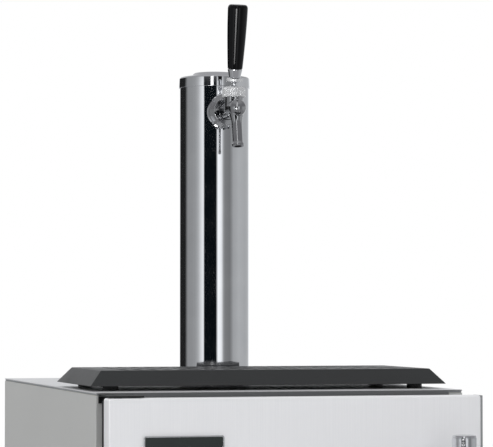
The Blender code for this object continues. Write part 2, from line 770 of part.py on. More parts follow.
def make_base():
    """Base pan, toe-kick grille and the four levelling feet."""
    pan_front = BODY_FRONT + SHEET + KICK_SHEET + CLEARANCE * 2
    pan_back = BODY_BACK - SHEET - CLEARANCE
    outline = [
        (-INSIDE_SIDE, PAN_HEIGHT),
        (INSIDE_SIDE, PAN_HEIGHT),
        (INSIDE_SIDE, PAN_HEIGHT + PAN_LIP),
        (INSIDE_SIDE - PAN_SHEET, PAN_HEIGHT + PAN_LIP),
        (INSIDE_SIDE - PAN_SHEET, PAN_FLOOR),
        (PAN_SHEET - INSIDE_SIDE, PAN_FLOOR),
        (PAN_SHEET - INSIDE_SIDE, PAN_HEIGHT + PAN_LIP),
        (-INSIDE_SIDE, PAN_HEIGHT + PAN_LIP),
    ]
    pan = prism("base_pan", outline, "Y", pan_front, pan_back, "galvanised_steel")

    nut_foot = PAN_HEIGHT - CLEARANCE - FOOT_NUT_HEIGHT
    profile = [
        (0, 0),
        (FOOT_RADIUS, 0),
        (FOOT_RADIUS, FOOT_PAD_HEIGHT - FOOT_CROWN),
        (FOOT_RADIUS - FOOT_CROWN, FOOT_PAD_HEIGHT),
        (FOOT_STEM_RADIUS, FOOT_PAD_HEIGHT),
        (FOOT_STEM_RADIUS, PAN_FLOOR + FOOT_STEM_RISE),
        (0, PAN_FLOOR + FOOT_STEM_RISE),
    ]
    for row, y in (("front", pan_front + FOOT_INSET_Y), ("rear", pan_back - FOOT_INSET_Y)):
        for hand, side in (("left", -1), ("right", 1)):
            name = f"levelling_foot_{row}_{hand}"
            place = Vector((side * (SIDE - FOOT_INSET_X), y, 0))
            foot = turned(name, profile, place, Z, "black_moulding", SMALL_SIDES)
            corners = [(place.x + x, place.y + y_out) for x, y_out in hexagon(FOOT_NUT_RADIUS)]
            nut = prism(f"{name}_nut", corners, "Z", nut_foot, nut_foot + FOOT_NUT_HEIGHT)
            carry(joint(f"{name}_axis", place), foot, nut)
            join(foot, nut)
            hole_base = place + Z * (PAN_HEIGHT - OVERRUN)
            hole_length = PAN_SHEET + OVERRUN * 2
            hole = rod(f"{name}_hole", FOOT_STEM_RADIUS + CLEARANCE, hole_base, Z, hole_length)
            cut(pan, hole)

    grille_front = BODY_FRONT + SHEET + CLEARANCE
    grille_low = PAN_HEIGHT
    grille_high = BODY_FLOOR_HEIGHT - CLEARANCE
    grille = block(
        "toe_kick_grille",
        (-INSIDE_SIDE, grille_front, grille_low),
        (INSIDE_SIDE, grille_front + KICK_SHEET, grille_high),
        "brushed_stainless",
    )
    slot_width = INSIDE_SIDE - KICK_MARGIN - KICK_RIB / 2
    openings = slots(
        "kick_slots",
        KICK_SLOT_ROWS,
        2,
        KICK_SLOT_PITCH,
        slot_width + KICK_RIB,
        (slot_width, KICK_SLOT_HEIGHT),
        (0, grille_front, (grille_low + grille_high) / 2),
        Z,
        X,
        Y,
    )
    cut(grille, openings)


def make_keg_plate():
    """The plate under the keg, with the low ring that centres it."""
    front = LINER_FRONT + KEG_PLATE_INSET
    back = STEP_FRONT - KEG_PLATE_INSET
    bottom = LINER_FLOOR + CLEARANCE
    plate = block(
        "keg_floor_plate",
        (KEG_PLATE_INSET - INNER_SIDE, front, bottom),
        (INNER_SIDE - KEG_PLATE_INSET, back, bottom + KEG_PLATE_SHEET),
        "black_moulding",
    )
    ring_radius = INNER_SIDE - KEG_RING_SIDE_GAP
    ring = tube(
        "keg_ring",
        ring_radius,
        ring_radius - KEG_RING_WALL,
        (0, (front + back) / 2, bottom + KEG_PLATE_SHEET / 2),
        Z,
        KEG_RING_RISE,
        sides=TOWER_SIDES,
    )
    join(plate, ring)


def make_evaporator():
    """The cold plate on the compartment's back wall, with the channels pressed in it."""
    half_width = INNER_SIDE - EVAPORATOR_SIDE_GAP
    bottom = STEP_HEIGHT + EVAPORATOR_FLOOR_GAP
    back = LINER_BACK - CLEARANCE
    plate = block(
        "evaporator_plate",
        (-half_width, back - EVAPORATOR_SHEET, bottom),
        (half_width, back, bottom + EVAPORATOR_HEIGHT),
        "aluminium",
    )
    pitch = EVAPORATOR_HEIGHT / EVAPORATOR_CHANNELS
    half = half_width - EVAPORATOR_CHANNEL
    for row in range(EVAPORATOR_CHANNELS):
        z = bottom + pitch * (row + 0.5)
        channel = block(
            f"channel_{row}",
            (-half, back - EVAPORATOR_SHEET - EVAPORATOR_CHANNEL_RISE, z - EVAPORATOR_CHANNEL / 2),
            (half, back - EVAPORATOR_SHEET / 2, z + EVAPORATOR_CHANNEL / 2),
        )
        join(plate, channel)


def make_fan():
    """The fan's housing under the ceiling, its fan, and the thermostat knob on its face."""
    back = LINER_BACK - CLEARANCE
    front = back - HOUSING_DEPTH
    high = CEILING - CLEARANCE
    low = high - HOUSING_HEIGHT
    half_width = INNER_SIDE - HOUSING_SIDE_GAP
    middle = Vector((0, front, (low + high) / 2))
    housing = block(
        "fan_housing",
        (-half_width, front, low),
        (half_width, back, high),
        "liner_plastic",
    )
    hollow = block(
        "housing_hollow",
        (HOUSING_WALL - half_width, front + HOUSING_WALL, low + HOUSING_WALL),
        (half_width - HOUSING_WALL, back + OVERRUN, high - HOUSING_WALL),
    )
    through = HOUSING_WALL + OVERRUN * 2
    mouth = rod("fan_mouth", FAN_OPENING_RADIUS, middle - Y * OVERRUN, Y, through, sides=ROUND_SIDES)
    knob_place = middle + X * (half_width - KNOB_INSET)
    knob_hole = rod(
        "knob_hole", KNOB_SHAFT_RADIUS + CLEARANCE, knob_place - Y * OVERRUN, Y, through
    )
    cut(housing, hollow, mouth, knob_hole)

    reach, half_bar = FAN_OPENING_RADIUS + SEALING_OVERLAP, GUARD_BAR / 2
    bars = []
    for name, half_x, half_z in (("guard_bar_x", reach, half_bar), ("guard_bar_z", half_bar, reach)):
        low_corner = middle - Vector((half_x, 0, half_z))
        bars.append(block(name, low_corner, middle + Vector((half_x, HOUSING_WALL, half_z))))
    ring_radius, ring_bore = GUARD_RING_RADIUS + half_bar, GUARD_RING_RADIUS - half_bar
    ring = tube("guard_ring", ring_radius, ring_bore, middle, Y, HOUSING_WALL)
    motor = rod("fan_motor", MOTOR_RADIUS, middle, Y, MOTOR_DEPTH, sides=ROUND_SIDES)
    join(housing, *bars, ring, motor)

    hub_front = middle + Y * (MOTOR_DEPTH + CLEARANCE)
    fan = rod("evaporator_fan", FAN_HUB_RADIUS, hub_front, Y, FAN_HUB_DEPTH, "black_moulding", ROUND_SIDES)
    blades = []
    for number in range(FAN_BLADES):
        blade = block(
            f"blade_{number}",
            (FAN_HUB_RADIUS - SEALING_OVERLAP, -FAN_BLADE_CHORD / 2, -FAN_BLADE_SHEET / 2),
            (FAN_RADIUS, FAN_BLADE_CHORD / 2, FAN_BLADE_SHEET / 2),
        )
        centre = hub_front + Y * FAN_HUB_DEPTH / 2
        around = Matrix.Rotation(2 * pi * number / FAN_BLADES, 4, "Y")
        pitched = Matrix.Rotation(radians(90 - FAN_BLADE_PITCH), 4, "X")
        blade.data.transform(Matrix.Translation(centre) @ around @ pitched)
        blades.append(blade)
    carry(joint("fan_axis", hub_front), fan, *blades)
    join(fan, *blades)

    knob_front = knob_place - Y * (CLEARANCE + KNOB_DEPTH)
    profile = [
        (0, 0),
        (KNOB_RADIUS * 0.85, 0),
        (KNOB_RADIUS, KNOB_DEPTH / 2),
        (KNOB_RADIUS, KNOB_DEPTH),
        (KNOB_SHAFT_RADIUS, KNOB_DEPTH),
        (KNOB_SHAFT_RADIUS, KNOB_DEPTH + KNOB_SHAFT_LENGTH),
        (0, KNOB_DEPTH + KNOB_SHAFT_LENGTH),
    ]
    knob = turned("thermostat_knob", profile, knob_front, Y, "grey_plastic")
    grip = block(
        "knob_grip",
        knob_front + Vector((-KNOB_GRIP / 2, -KNOB_GRIP_RISE, -KNOB_RADIUS * 0.8)),
        knob_front + Vector((KNOB_GRIP / 2, KNOB_DEPTH / 2, KNOB_RADIUS * 0.8)),
    )
    carry(joint("thermostat_axis", knob_place), knob, grip)
    join(knob, grip)


def make_compressor():
    """The sealed compressor on its sprung mount, over the base pan."""
    y = BODY_BACK - SHEET - COMPRESSOR_BACK_GAP - COMPRESSOR_RADIUS
    foot = PAN_FLOOR + CLEARANCE
    plate_bottom = foot + MOUNT_FOOT_HEIGHT
    low = (COMPRESSOR_X - MOUNT_WIDTH / 2, y - MOUNT_DEPTH / 2, plate_bottom)
    high = (COMPRESSOR_X + MOUNT_WIDTH / 2, y + MOUNT_DEPTH / 2, plate_bottom + MOUNT_SHEET)
    mount = block("compressor_mount", low, high, "black_enamel")
    for row in (-1, 1):
        for side in (-1, 1):
            place = (
                COMPRESSOR_X + side * (MOUNT_WIDTH / 2 - MOUNT_FOOT_INSET),
                y + row * (MOUNT_DEPTH / 2 - MOUNT_FOOT_INSET),
                foot,
            )
            name = f"mount_foot_{side}_{row}"
            join(mount, rod(name, MOUNT_FOOT_RADIUS, place, Z, MOUNT_FOOT_HEIGHT + MOUNT_SHEET / 2))

    shell_foot = plate_bottom + MOUNT_SHEET + CLEARANCE
    radius, height = COMPRESSOR_RADIUS, COMPRESSOR_HEIGHT
    seam = COMPRESSOR_SEAM
    profile = [
        (0, 0),
        (radius * 0.62, 0),
        (radius * 0.9, height * 0.1),
        (radius - seam, height * 0.3),
        (radius - seam, height * 0.55 - seam),
        (radius, height * 0.55 - seam),
        (radius, height * 0.55 + seam),
        (radius - seam, height * 0.55 + seam),
        (radius - seam, height * 0.78),
        (radius * 0.82, height * 0.92),
        (radius * 0.5, height),
        (0, height),
    ]
    shell = turned("compressor", profile, (COMPRESSOR_X, y, shell_foot), Z, "black_enamel")
    terminal_z = shell_foot + height * 0.3
    half_terminal = TERMINAL_HEIGHT / 2
    terminal = block(
        "terminal_cover",
        (COMPRESSOR_X + radius * 0.8, y - TERMINAL_WIDTH / 2, terminal_z - half_terminal),
        (COMPRESSOR_X + radius + TERMINAL_DEPTH, y + TERMINAL_WIDTH / 2, terminal_z + half_terminal),
    )
    join(shell, terminal)


def coil_path(front, z):
    """The middle line of a flat coil: straight passes along X joined by half-round bends."""
    points = []
    reach = SIDE - COIL_SIDE_GAP - COIL_BEND_RADIUS
    for row in range(COIL_PASSES):
        y = front + row * COIL_BEND_RADIUS * 2
        side = 1 if row % 2 else -1
        points.append((side * reach, y, z))
        if row == COIL_PASSES - 1:
            points.append((-side * reach, y, z))
            break
        for step in range(COIL_BEND_POINTS):
            angle = pi * step / COIL_BEND_POINTS
            points.append(
                (
                    -side * (reach + COIL_BEND_RADIUS * sin(angle)),
                    y + COIL_BEND_RADIUS * (1 - cos(angle)),
                    z,
                )
            )
    return points


def make_condenser():
    """The condenser coil, flat in the low space in front of the compressor."""
    front = BODY_FRONT + COIL_FRONT_GAP
    foot = PAN_FLOOR + CLEARANCE
    z = foot + COIL_HEIGHT
    points = coil_path(front, z)
    curve = bpy.data.curves.new("coil_curve", "CURVE")
    curve.dimensions = "3D"
    curve.bevel_depth = COIL_TUBE_RADIUS
    curve.bevel_resolution = 1
    curve.use_fill_caps = True
    spline = curve.splines.new("POLY")
    spline.points.add(len(points) - 1)
    for point, place in zip(spline.points, points):
        point.co = (*place, 1)
    guide = bpy.data.objects.new("coil_guide", curve)
    bpy.context.collection.objects.link(guide)
    bpy.context.view_layer.update()
    evaluated = guide.evaluated_get(bpy.context.evaluated_depsgraph_get())
    shape = bmesh.new()
    shape.from_mesh(evaluated.to_mesh())
    evaluated.to_mesh_clear()
    bpy.data.objects.remove(guide, do_unlink=True)
    bmesh.ops.remove_doubles(shape, verts=shape.verts, dist=CLEARANCE / 100)
    coil = piece("condenser_coil", shape, "copper", smooth=True)
    back = front + COIL_BEND_RADIUS * 2 * (COIL_PASSES - 1)
    bar_x = SIDE - COIL_SIDE_GAP - COIL_BAR_INSET
    for side in (-1, 1):
        bar = block(
            f"coil_bar_{side}",
            (side * bar_x - COIL_BAR_WIDTH / 2, front - COIL_BAR_WIDTH, foot),
            (side * bar_x + COIL_BAR_WIDTH / 2, back + COIL_BAR_WIDTH, z),
        )
        join(coil, bar)


def make_inlet():
    """The mains inlet in the back panel: a flanged socket that a lead plugs into."""
    z = PAN_FLOOR + INLET_RISE
    half_width, half_height = INLET_WIDTH / 2, INLET_HEIGHT / 2
    flange_front = BODY_BACK - SHEET - CLEARANCE - INLET_FLANGE_SHEET
    inlet = block(
        "mains_inlet",
        (INLET_X - half_width, BODY_BACK - SHEET - INLET_DEPTH, z - half_height),
        (INLET_X + half_width, BODY_BACK, z + half_height),
        "black_moulding",
    )
    flange = block(
        "inlet_flange",
        (INLET_X - half_width - INLET_FLANGE, flange_front, z - half_height - INLET_FLANGE),
        (
            INLET_X + half_width + INLET_FLANGE,
            flange_front + INLET_FLANGE_SHEET,
            z + half_height + INLET_FLANGE,
        ),
    )
    socket = block(
        "inlet_socket",
        (
            INLET_X - half_width + INLET_WALL,
            BODY_BACK - SHEET - INLET_DEPTH + INLET_WALL,
            z - half_height + INLET_WALL,
        ),
        (INLET_X + half_width - INLET_WALL, BODY_BACK + OVERRUN, z + half_height - INLET_WALL),
    )
    join(inlet, flange)
    cut(inlet, socket)


def make_gas_supply():
    """Cylinder, valve with its handwheel, regulator, gauges and the regulator's knob."""
    place = Vector((CYLINDER_X, CYLINDER_Y, STEP_HEIGHT + CLEARANCE))
    body_height = CYLINDER_HEIGHT - CYLINDER_NECK_HEIGHT
    straight = body_height - CYLINDER_SHOULDER
    base_round = CYLINDER_RADIUS - CYLINDER_BASE_RADIUS
    shoulder = [
        (
            CYLINDER_NECK_RADIUS + (CYLINDER_RADIUS - CYLINDER_NECK_RADIUS) * cos(angle),
            straight + CYLINDER_SHOULDER * sin(angle),
        )
        for angle in (radians(step * 18) for step in range(6))
    ]
    profile = [
        (0, 0),
        (CYLINDER_BASE_RADIUS, 0),
        (CYLINDER_RADIUS - base_round * 0.3, base_round * 0.3),
        (CYLINDER_RADIUS, base_round),
        *shoulder,
        (CYLINDER_NECK_RADIUS, CYLINDER_HEIGHT),
        (0, CYLINDER_HEIGHT),
    ]
    turned("gas_cylinder", profile, place, Z, "aluminium")

    foot = Vector((CYLINDER_X, CYLINDER_Y, VALVE_FOOT))
    spindle_top = VALVE_HEIGHT + VALVE_SPINDLE_RISE
    profile = [
        (0, 0),
        (VALVE_RADIUS, 0),
        (VALVE_RADIUS, VALVE_HEIGHT),
        (VALVE_SPINDLE_RADIUS, VALVE_HEIGHT),
        (VALVE_SPINDLE_RADIUS, spindle_top),
        (0, spindle_top),
    ]
    valve = turned("cylinder_valve", profile, foot, Z, "brass")
    outlet_base = foot + Z * VALVE_OUTLET_RISE
    join(valve, rod("valve_outlet", VALVE_OUTLET_RADIUS, outlet_base, X, VALVE_OUTLET_REACH))

    wheel_foot = foot + Z * (VALVE_HEIGHT + CLEARANCE)
    socket_radius = VALVE_SPINDLE_RADIUS + CLEARANCE
    socket_depth = WHEEL_HEIGHT - WHEEL_ROOF
    profile = [
        (0, socket_depth),
        (socket_radius, socket_depth),
        (socket_radius, 0),
        (WHEEL_RADIUS, 0),
        (WHEEL_RADIUS, WHEEL_HEIGHT),
        (0, WHEEL_HEIGHT),
    ]
    wheel = turned("valve_handwheel", profile, wheel_foot, Z, "black_moulding")
    lobes = []
    for number in range(WHEEL_LOBES):
        angle = 2 * pi * (number + 0.5) / WHEEL_LOBES
        at = wheel_foot + (X * cos(angle) + Y * sin(angle)) * (WHEEL_RADIUS + WHEEL_LOBE_RADIUS / 2)
        base = at - Z * OVERRUN
        lobes.append(rod(f"wheel_lobe_{number}", WHEEL_LOBE_RADIUS, base, Z, WHEEL_HEIGHT + OVERRUN * 2))
    grips = gather("wheel_grips", lobes)
    carry(joint("handwheel_axis", wheel_foot), wheel, grips)
    cut(wheel, grips)

    centre = Vector((REGULATOR_X, CYLINDER_Y, OUTLET_Z))
    nut_low = CYLINDER_X + VALVE_OUTLET_REACH + CLEARANCE
    corners = [(centre.y + y, centre.z + z) for y, z in hexagon(REGULATOR_NUT_RADIUS)]
    half_depth = REGULATOR_DEPTH / 2
    bonnet_end = REGULATOR_DEPTH + REGULATOR_BONNET_DEPTH
    screw_radius = REGULATOR_SCREW_RADIUS + CLEARANCE
    screw_end = bonnet_end - REGULATOR_SCREW_LENGTH - CLEARANCE
    profile = [
        (0, 0),
        (REGULATOR_RADIUS, 0),
        (REGULATOR_RADIUS, REGULATOR_DEPTH),
        (REGULATOR_BONNET_RADIUS, REGULATOR_DEPTH),
        (REGULATOR_BONNET_RADIUS, bonnet_end),
        (screw_radius, bonnet_end),
        (screw_radius, screw_end),
        (0, screw_end),
    ]
    regulator = turned("gas_regulator", profile, centre + Y * half_depth, -Y, "brass")
    nut = prism("regulator_nut", corners, "X", nut_low, nut_low + REGULATOR_NUT_LENGTH + REGULATOR_RADIUS / 2)
    port_length = REGULATOR_RADIUS + REGULATOR_PORT_REACH
    port_x = rod("regulator_port_x", REGULATOR_PORT_RADIUS, centre, X, port_length)
    port_z = rod("regulator_port_z", REGULATOR_PORT_RADIUS, centre, Z, port_length)
    barb = rod("regulator_barb", BARB_RADIUS, centre, -Z, REGULATOR_RADIUS + BARB_REACH)
    join(regulator, nut, port_x, port_z, barb)

    knob_back = centre - Y * (bonnet_end - half_depth + CLEARANCE)
    profile = [
        (0, 0),
        (REGULATOR_SCREW_RADIUS, 0),
        (REGULATOR_SCREW_RADIUS, REGULATOR_SCREW_LENGTH),
        (REGULATOR_KNOB_RADIUS, REGULATOR_SCREW_LENGTH),
        (REGULATOR_KNOB_RADIUS * 0.9, REGULATOR_SCREW_LENGTH + REGULATOR_KNOB_DEPTH),
        (0, REGULATOR_SCREW_LENGTH + REGULATOR_KNOB_DEPTH),
    ]
    knob_base = knob_back + Y * REGULATOR_SCREW_LENGTH
    knob = turned("regulator_knob", profile, knob_base, -Y, "black_moulding")
    carry(joint("regulator_knob_axis", knob_back), knob)

    gauge_reach = port_length + CLEARANCE + GAUGE_RADIUS
    rim = GAUGE_RADIUS - GAUGE_RIM
    profile = [
        (0, 0),
        (GAUGE_RADIUS, 0),
        (GAUGE_RADIUS, GAUGE_DEPTH),
        (rim, GAUGE_DEPTH),
        (rim, GAUGE_DEPTH - GAUGE_RECESS),
        (0, GAUGE_DEPTH - GAUGE_RECESS),
    ]
    for name, way in (("tank_gauge", X), ("line_gauge", Z)):
        turned(name, profile, centre + way * gauge_reach + Y * GAUGE_DEPTH / 2, -Y, "gauge_case")


def make_coupler():
    """The keg coupler, stored on the step: body, probe and the lever that drives the probe down."""
    foot = Vector((COUPLER_X, COUPLER_Y, COUPLER_FOOT))
    bore = PROBE_RADIUS + CLEARANCE
    profile = [
        (COUPLER_SOCKET_RADIUS, 0),
        (COUPLER_BASE_RADIUS, 0),
        (COUPLER_BASE_RADIUS, COUPLER_BASE_HEIGHT),
        (COUPLER_WAIST_RADIUS, COUPLER_BASE_HEIGHT * 1.6),
        (COUPLER_WAIST_RADIUS, COUPLER_HEIGHT),
        (bore, COUPLER_HEIGHT),
        (bore, COUPLER_SOCKET_DEPTH),
        (COUPLER_SOCKET_RADIUS, COUPLER_SOCKET_DEPTH),
    ]
    body = turned("coupler_body", profile, foot, Z, "polished_chrome", ring=True)
    wall_middle = (COUPLER_WAIST_RADIUS + bore) / 2
    port_base = foot + Z * COUPLER_PORT_RISE + X * wall_middle
    port = rod("coupler_port", COUPLER_PORT_RADIUS, port_base, X, COUPLER_PORT_REACH - wall_middle)
    join(body, port)

    tip = foot + Z * PROBE_TIP_RISE
    profile = [
        (PROBE_BORE_RADIUS, 0),
        (PROBE_RADIUS, 0),
        (PROBE_RADIUS, PROBE_HEIGHT - PROBE_TIP_RISE - PROBE_NUT_HEIGHT),
        (PROBE_NUT_RADIUS, PROBE_HEIGHT - PROBE_TIP_RISE - PROBE_NUT_HEIGHT),
        (PROBE_NUT_RADIUS, PROBE_HEIGHT - PROBE_TIP_RISE),
        (PROBE_BORE_RADIUS, PROBE_HEIGHT - PROBE_TIP_RISE),
    ]
    probe = turned("coupler_probe", profile, tip, Z, "polished_chrome", ring=True)
    carry(joint("probe_axis", tip), probe)

    pivot = foot + Z * YOKE_PIVOT_RISE
    inner = COUPLER_WAIST_RADIUS + CLEARANCE
    outer = inner + YOKE_SHEET
    half = YOKE_WIDTH / 2
    arms = []
    for side in (-1, 1):
        near, far = sorted((side * inner, side * outer))
        low = pivot + Vector((near, -YOKE_REACH, -half))
        high = pivot + Vector((far, half, half))
        arms.append(block(f"yoke_arm_{side}", low, high))
        pin_base = pivot + X * side * (inner + YOKE_SHEET / 2)
        pin_length = YOKE_SHEET / 2 + CLEARANCE + YOKE_PIN_LENGTH
        arms.append(rod(f"yoke_pin_{side}", YOKE_PIN_RADIUS, pin_base, -X * side, pin_length))
        hole_length = YOKE_PIN_LENGTH + CLEARANCE + OVERRUN
        hole_base = pivot + X * side * (COUPLER_WAIST_RADIUS + OVERRUN)
        cut(body, rod(f"yoke_hole_{side}", YOKE_PIN_RADIUS + CLEARANCE, hole_base, -X * side, hole_length))
    bridge_x, bridge_z = outer + SEALING_OVERLAP, half + SEALING_OVERLAP
    bridge = block(
        "coupler_lever",
        pivot + Vector((-bridge_x, -YOKE_REACH - YOKE_SHEET, -bridge_z)),
        pivot + Vector((bridge_x, -YOKE_REACH + YOKE_SHEET, bridge_z)),
        "black_moulding",
    )
    grip = rod(
        "coupler_grip",
        COUPLER_GRIP_RADIUS,
        pivot - Y * YOKE_REACH,
        -Y,
        COUPLER_GRIP_LENGTH,
    )
    raised = Matrix.Translation(pivot) @ Matrix.Rotation(-radians(COUPLER_LEVER_ANGLE), 4, "X")
    for part in (bridge, grip, *arms):
        part.data.transform(raised @ Matrix.Translation(-pivot))
    carry(joint("coupler_lever_axis", pivot), bridge, grip, *arms)
    join(bridge, grip, *arms)


def make_door():
    """Door pan, insulation, liner, gasket, handle and badge plate, all on the hinge's axis."""
    hinge = joint("door_axis", (HINGE_X, HINGE_Y, 0))
    shape = box_shape((-SIDE, DOOR_FRONT, DOOR_BOTTOM), (SIDE, PAN_BACK, DOOR_TOP))
    behind = DOOR_FRONT + DOOR_SHEET
    folded = [edge for edge in shape.edges if any(vertex.co.y < behind for vertex in edge.verts)]
    bmesh.ops.bevel(
        shape,
        geom=folded,
        offset=DOOR_CORNER,
        offset_type="OFFSET",
        segments=2,
        profile=0.5,
        affect="EDGES",
        material=-1,
    )
    pan = piece("door_panel", shape, "brushed_stainless", smooth=True)
    pan_inside = block(
        "pan_inside",
        (DOOR_SHEET - SIDE, DOOR_FRONT + DOOR_SHEET, DOOR_BOTTOM + DOOR_SHEET),
        (SIDE - DOOR_SHEET, PAN_BACK + OVERRUN, DOOR_TOP - DOOR_SHEET),
    )
    pin_hole_base = (HINGE_X, HINGE_Y, DOOR_BOTTOM - OVERRUN)
    pin_hole_length = DOOR_TOP - DOOR_BOTTOM + OVERRUN * 2
    pin_hole = rod("pin_hole", HINGE_PIN_RADIUS + CLEARANCE, pin_hole_base, Z, pin_hole_length)
    cut(pan, pan_inside, pin_hole)

    liner_side = SIDE - DOOR_LINER_INSET
    liner_low = DOOR_BOTTOM + DOOR_LINER_INSET
    liner_high = DOOR_TOP - DOOR_LINER_INSET
    liner_back = BODY_FRONT - GASKET_THICKNESS
    liner = block(
        "door_liner",
        (-liner_side, PAN_BACK + CLEARANCE, liner_low),
        (liner_side, liner_back, liner_high),
        "black_moulding",
    )
    liner_hollow = block(
        "door_liner_hollow",
        (DOOR_LINER_SHEET - liner_side, PAN_BACK - OVERRUN, liner_low + DOOR_LINER_SHEET),
        (liner_side - DOOR_LINER_SHEET, liner_back - DOOR_LINER_SHEET, liner_high - DOOR_LINER_SHEET),
    )
    cut(liner, liner_hollow)

    pan_gap = DOOR_SHEET + CLEARANCE
    foam = block(
        "door_insulation",
        (pan_gap - SIDE, DOOR_FRONT + pan_gap, DOOR_BOTTOM + pan_gap),
        (SIDE - pan_gap, PAN_BACK, DOOR_TOP - pan_gap),
        "foam",
    )
    liner_gap = DOOR_LINER_SHEET + CLEARANCE
    foam_step = block(
        "foam_step",
        (liner_gap - liner_side, PAN_BACK - OVERRUN, liner_low + liner_gap),
        (liner_side - liner_gap, liner_back - liner_gap, liner_high - liner_gap),
    )
    bearing_hole = rod(
        "bearing_hole", HINGE_PIN_RADIUS + CLEARANCE * 2, pin_hole_base, Z, pin_hole_length
    )
    join(foam, foam_step)
    cut(foam, bearing_hole)

    gasket_side = SIDE - GASKET_INSET
    gasket_low = DOOR_BOTTOM + GASKET_INSET
    gasket_high = DOOR_TOP - GASKET_INSET
    gasket = block(
        "door_gasket",
        (-gasket_side, liner_back + CLEARANCE, gasket_low),
        (gasket_side, BODY_FRONT - CLEARANCE, gasket_high),
        "gasket_rubber",
    )
    gasket_middle = block(
        "gasket_middle",
        (GASKET_WIDTH - gasket_side, liner_back - OVERRUN, gasket_low + GASKET_WIDTH),
        (gasket_side - GASKET_WIDTH, BODY_FRONT + OVERRUN, gasket_high - GASKET_WIDTH),
    )
    cut(gasket, gasket_middle)

    handle, posts = make_handle()
    badge, badge_field = make_badge()
    carry(hinge, pan, liner, foam, gasket, handle, badge)
    carry(hinge, pan_inside, pin_hole, liner_hollow, foam_step, bearing_hole, gasket_middle)
    carry(hinge, badge_field, *posts)


def make_handle():
    """The upright tube handle and its two posts."""
    radius = HANDLE_DIAMETER / 2
    low = DOOR_BOTTOM + HANDLE_END_INSET
    length = DOOR_TOP - HANDLE_END_INSET - low
    base = Vector((SIDE - HANDLE_EDGE_INSET, DOOR_FRONT - HANDLE_GAP - radius, low))
    profile = [
        (0, 0),
        (radius - HANDLE_CROWN, 0),
        (radius, HANDLE_CROWN),
        (radius, length - HANDLE_CROWN),
        (radius - HANDLE_CROWN, length),
        (0, length),
    ]
    handle = turned("door_handle", profile, base, Z, "polished_chrome")
    posts = []
    for name, rise in (("upper_post", length - HANDLE_POST_INSET), ("lower_post", HANDLE_POST_INSET)):
        post_length = radius + HANDLE_GAP - CLEARANCE
        posts.append(rod(name, HANDLE_POST_RADIUS, base + Z * rise, Y, post_length))
    join(handle, *posts)
    return handle, posts


def make_badge():
    """The bare badge plate: a dark field inside a raised border."""
    left = BADGE_SIDE_INSET - SIDE
    high = DOOR_TOP - BADGE_TOP_INSET
    low = high - BADGE_HEIGHT
    back = DOOR_FRONT - CLEARANCE
    front = back - BADGE_THICKNESS
    badge = block("badge_plate", (left, front, low), (left + BADGE_WIDTH, back, high), "black_enamel")
    field = block(
        "badge_field",
        (left + BADGE_BORDER, front - OVERRUN, low + BADGE_BORDER),
        (left + BADGE_WIDTH - BADGE_BORDER, front + BADGE_BORDER_RISE, high - BADGE_BORDER),
    )
    cut(badge, field)
    return badge, field


def make_hinges():
    """The door's upper and lower hinge: a plate on the body's front and a pin into the door."""
    plate_left = HINGE_EDGE_INSET - SIDE
    plate_right = plate_left + HINGE_PLATE_WIDTH
    plate_front = HINGE_Y - HINGE_PIN_RADIUS * 2
    body_gap = BODY_FRONT - CLEARANCE
    for name, door_edge, way in (("upper_hinge", DOOR_TOP, 1), ("lower_hinge", DOOR_BOTTOM, -1)):
        inner = door_edge + way * HINGE_DOOR_GAP
        outer = inner + way * HINGE_PLATE
        low, high = sorted((inner, outer))
        low_corner, high_corner = (plate_left, plate_front, low), (plate_right, body_gap, high)
        plate = block(name, low_corner, high_corner, "black_enamel")
        tab = block(
            f"{name}_tab",
            (plate_left, body_gap - HINGE_TAB_SHEET, outer - HINGE_TAB_HEIGHT),
            (plate_right, body_gap, outer),
        )
        pin_base = (HINGE_X, HINGE_Y, (low + high) / 2)
        pin_length = HINGE_PIN_LENGTH + HINGE_PLATE / 2
        pin = rod(f"{name}_pin", HINGE_PIN_RADIUS, pin_base, -Z * way, pin_length)
        join(plate, tab, pin)


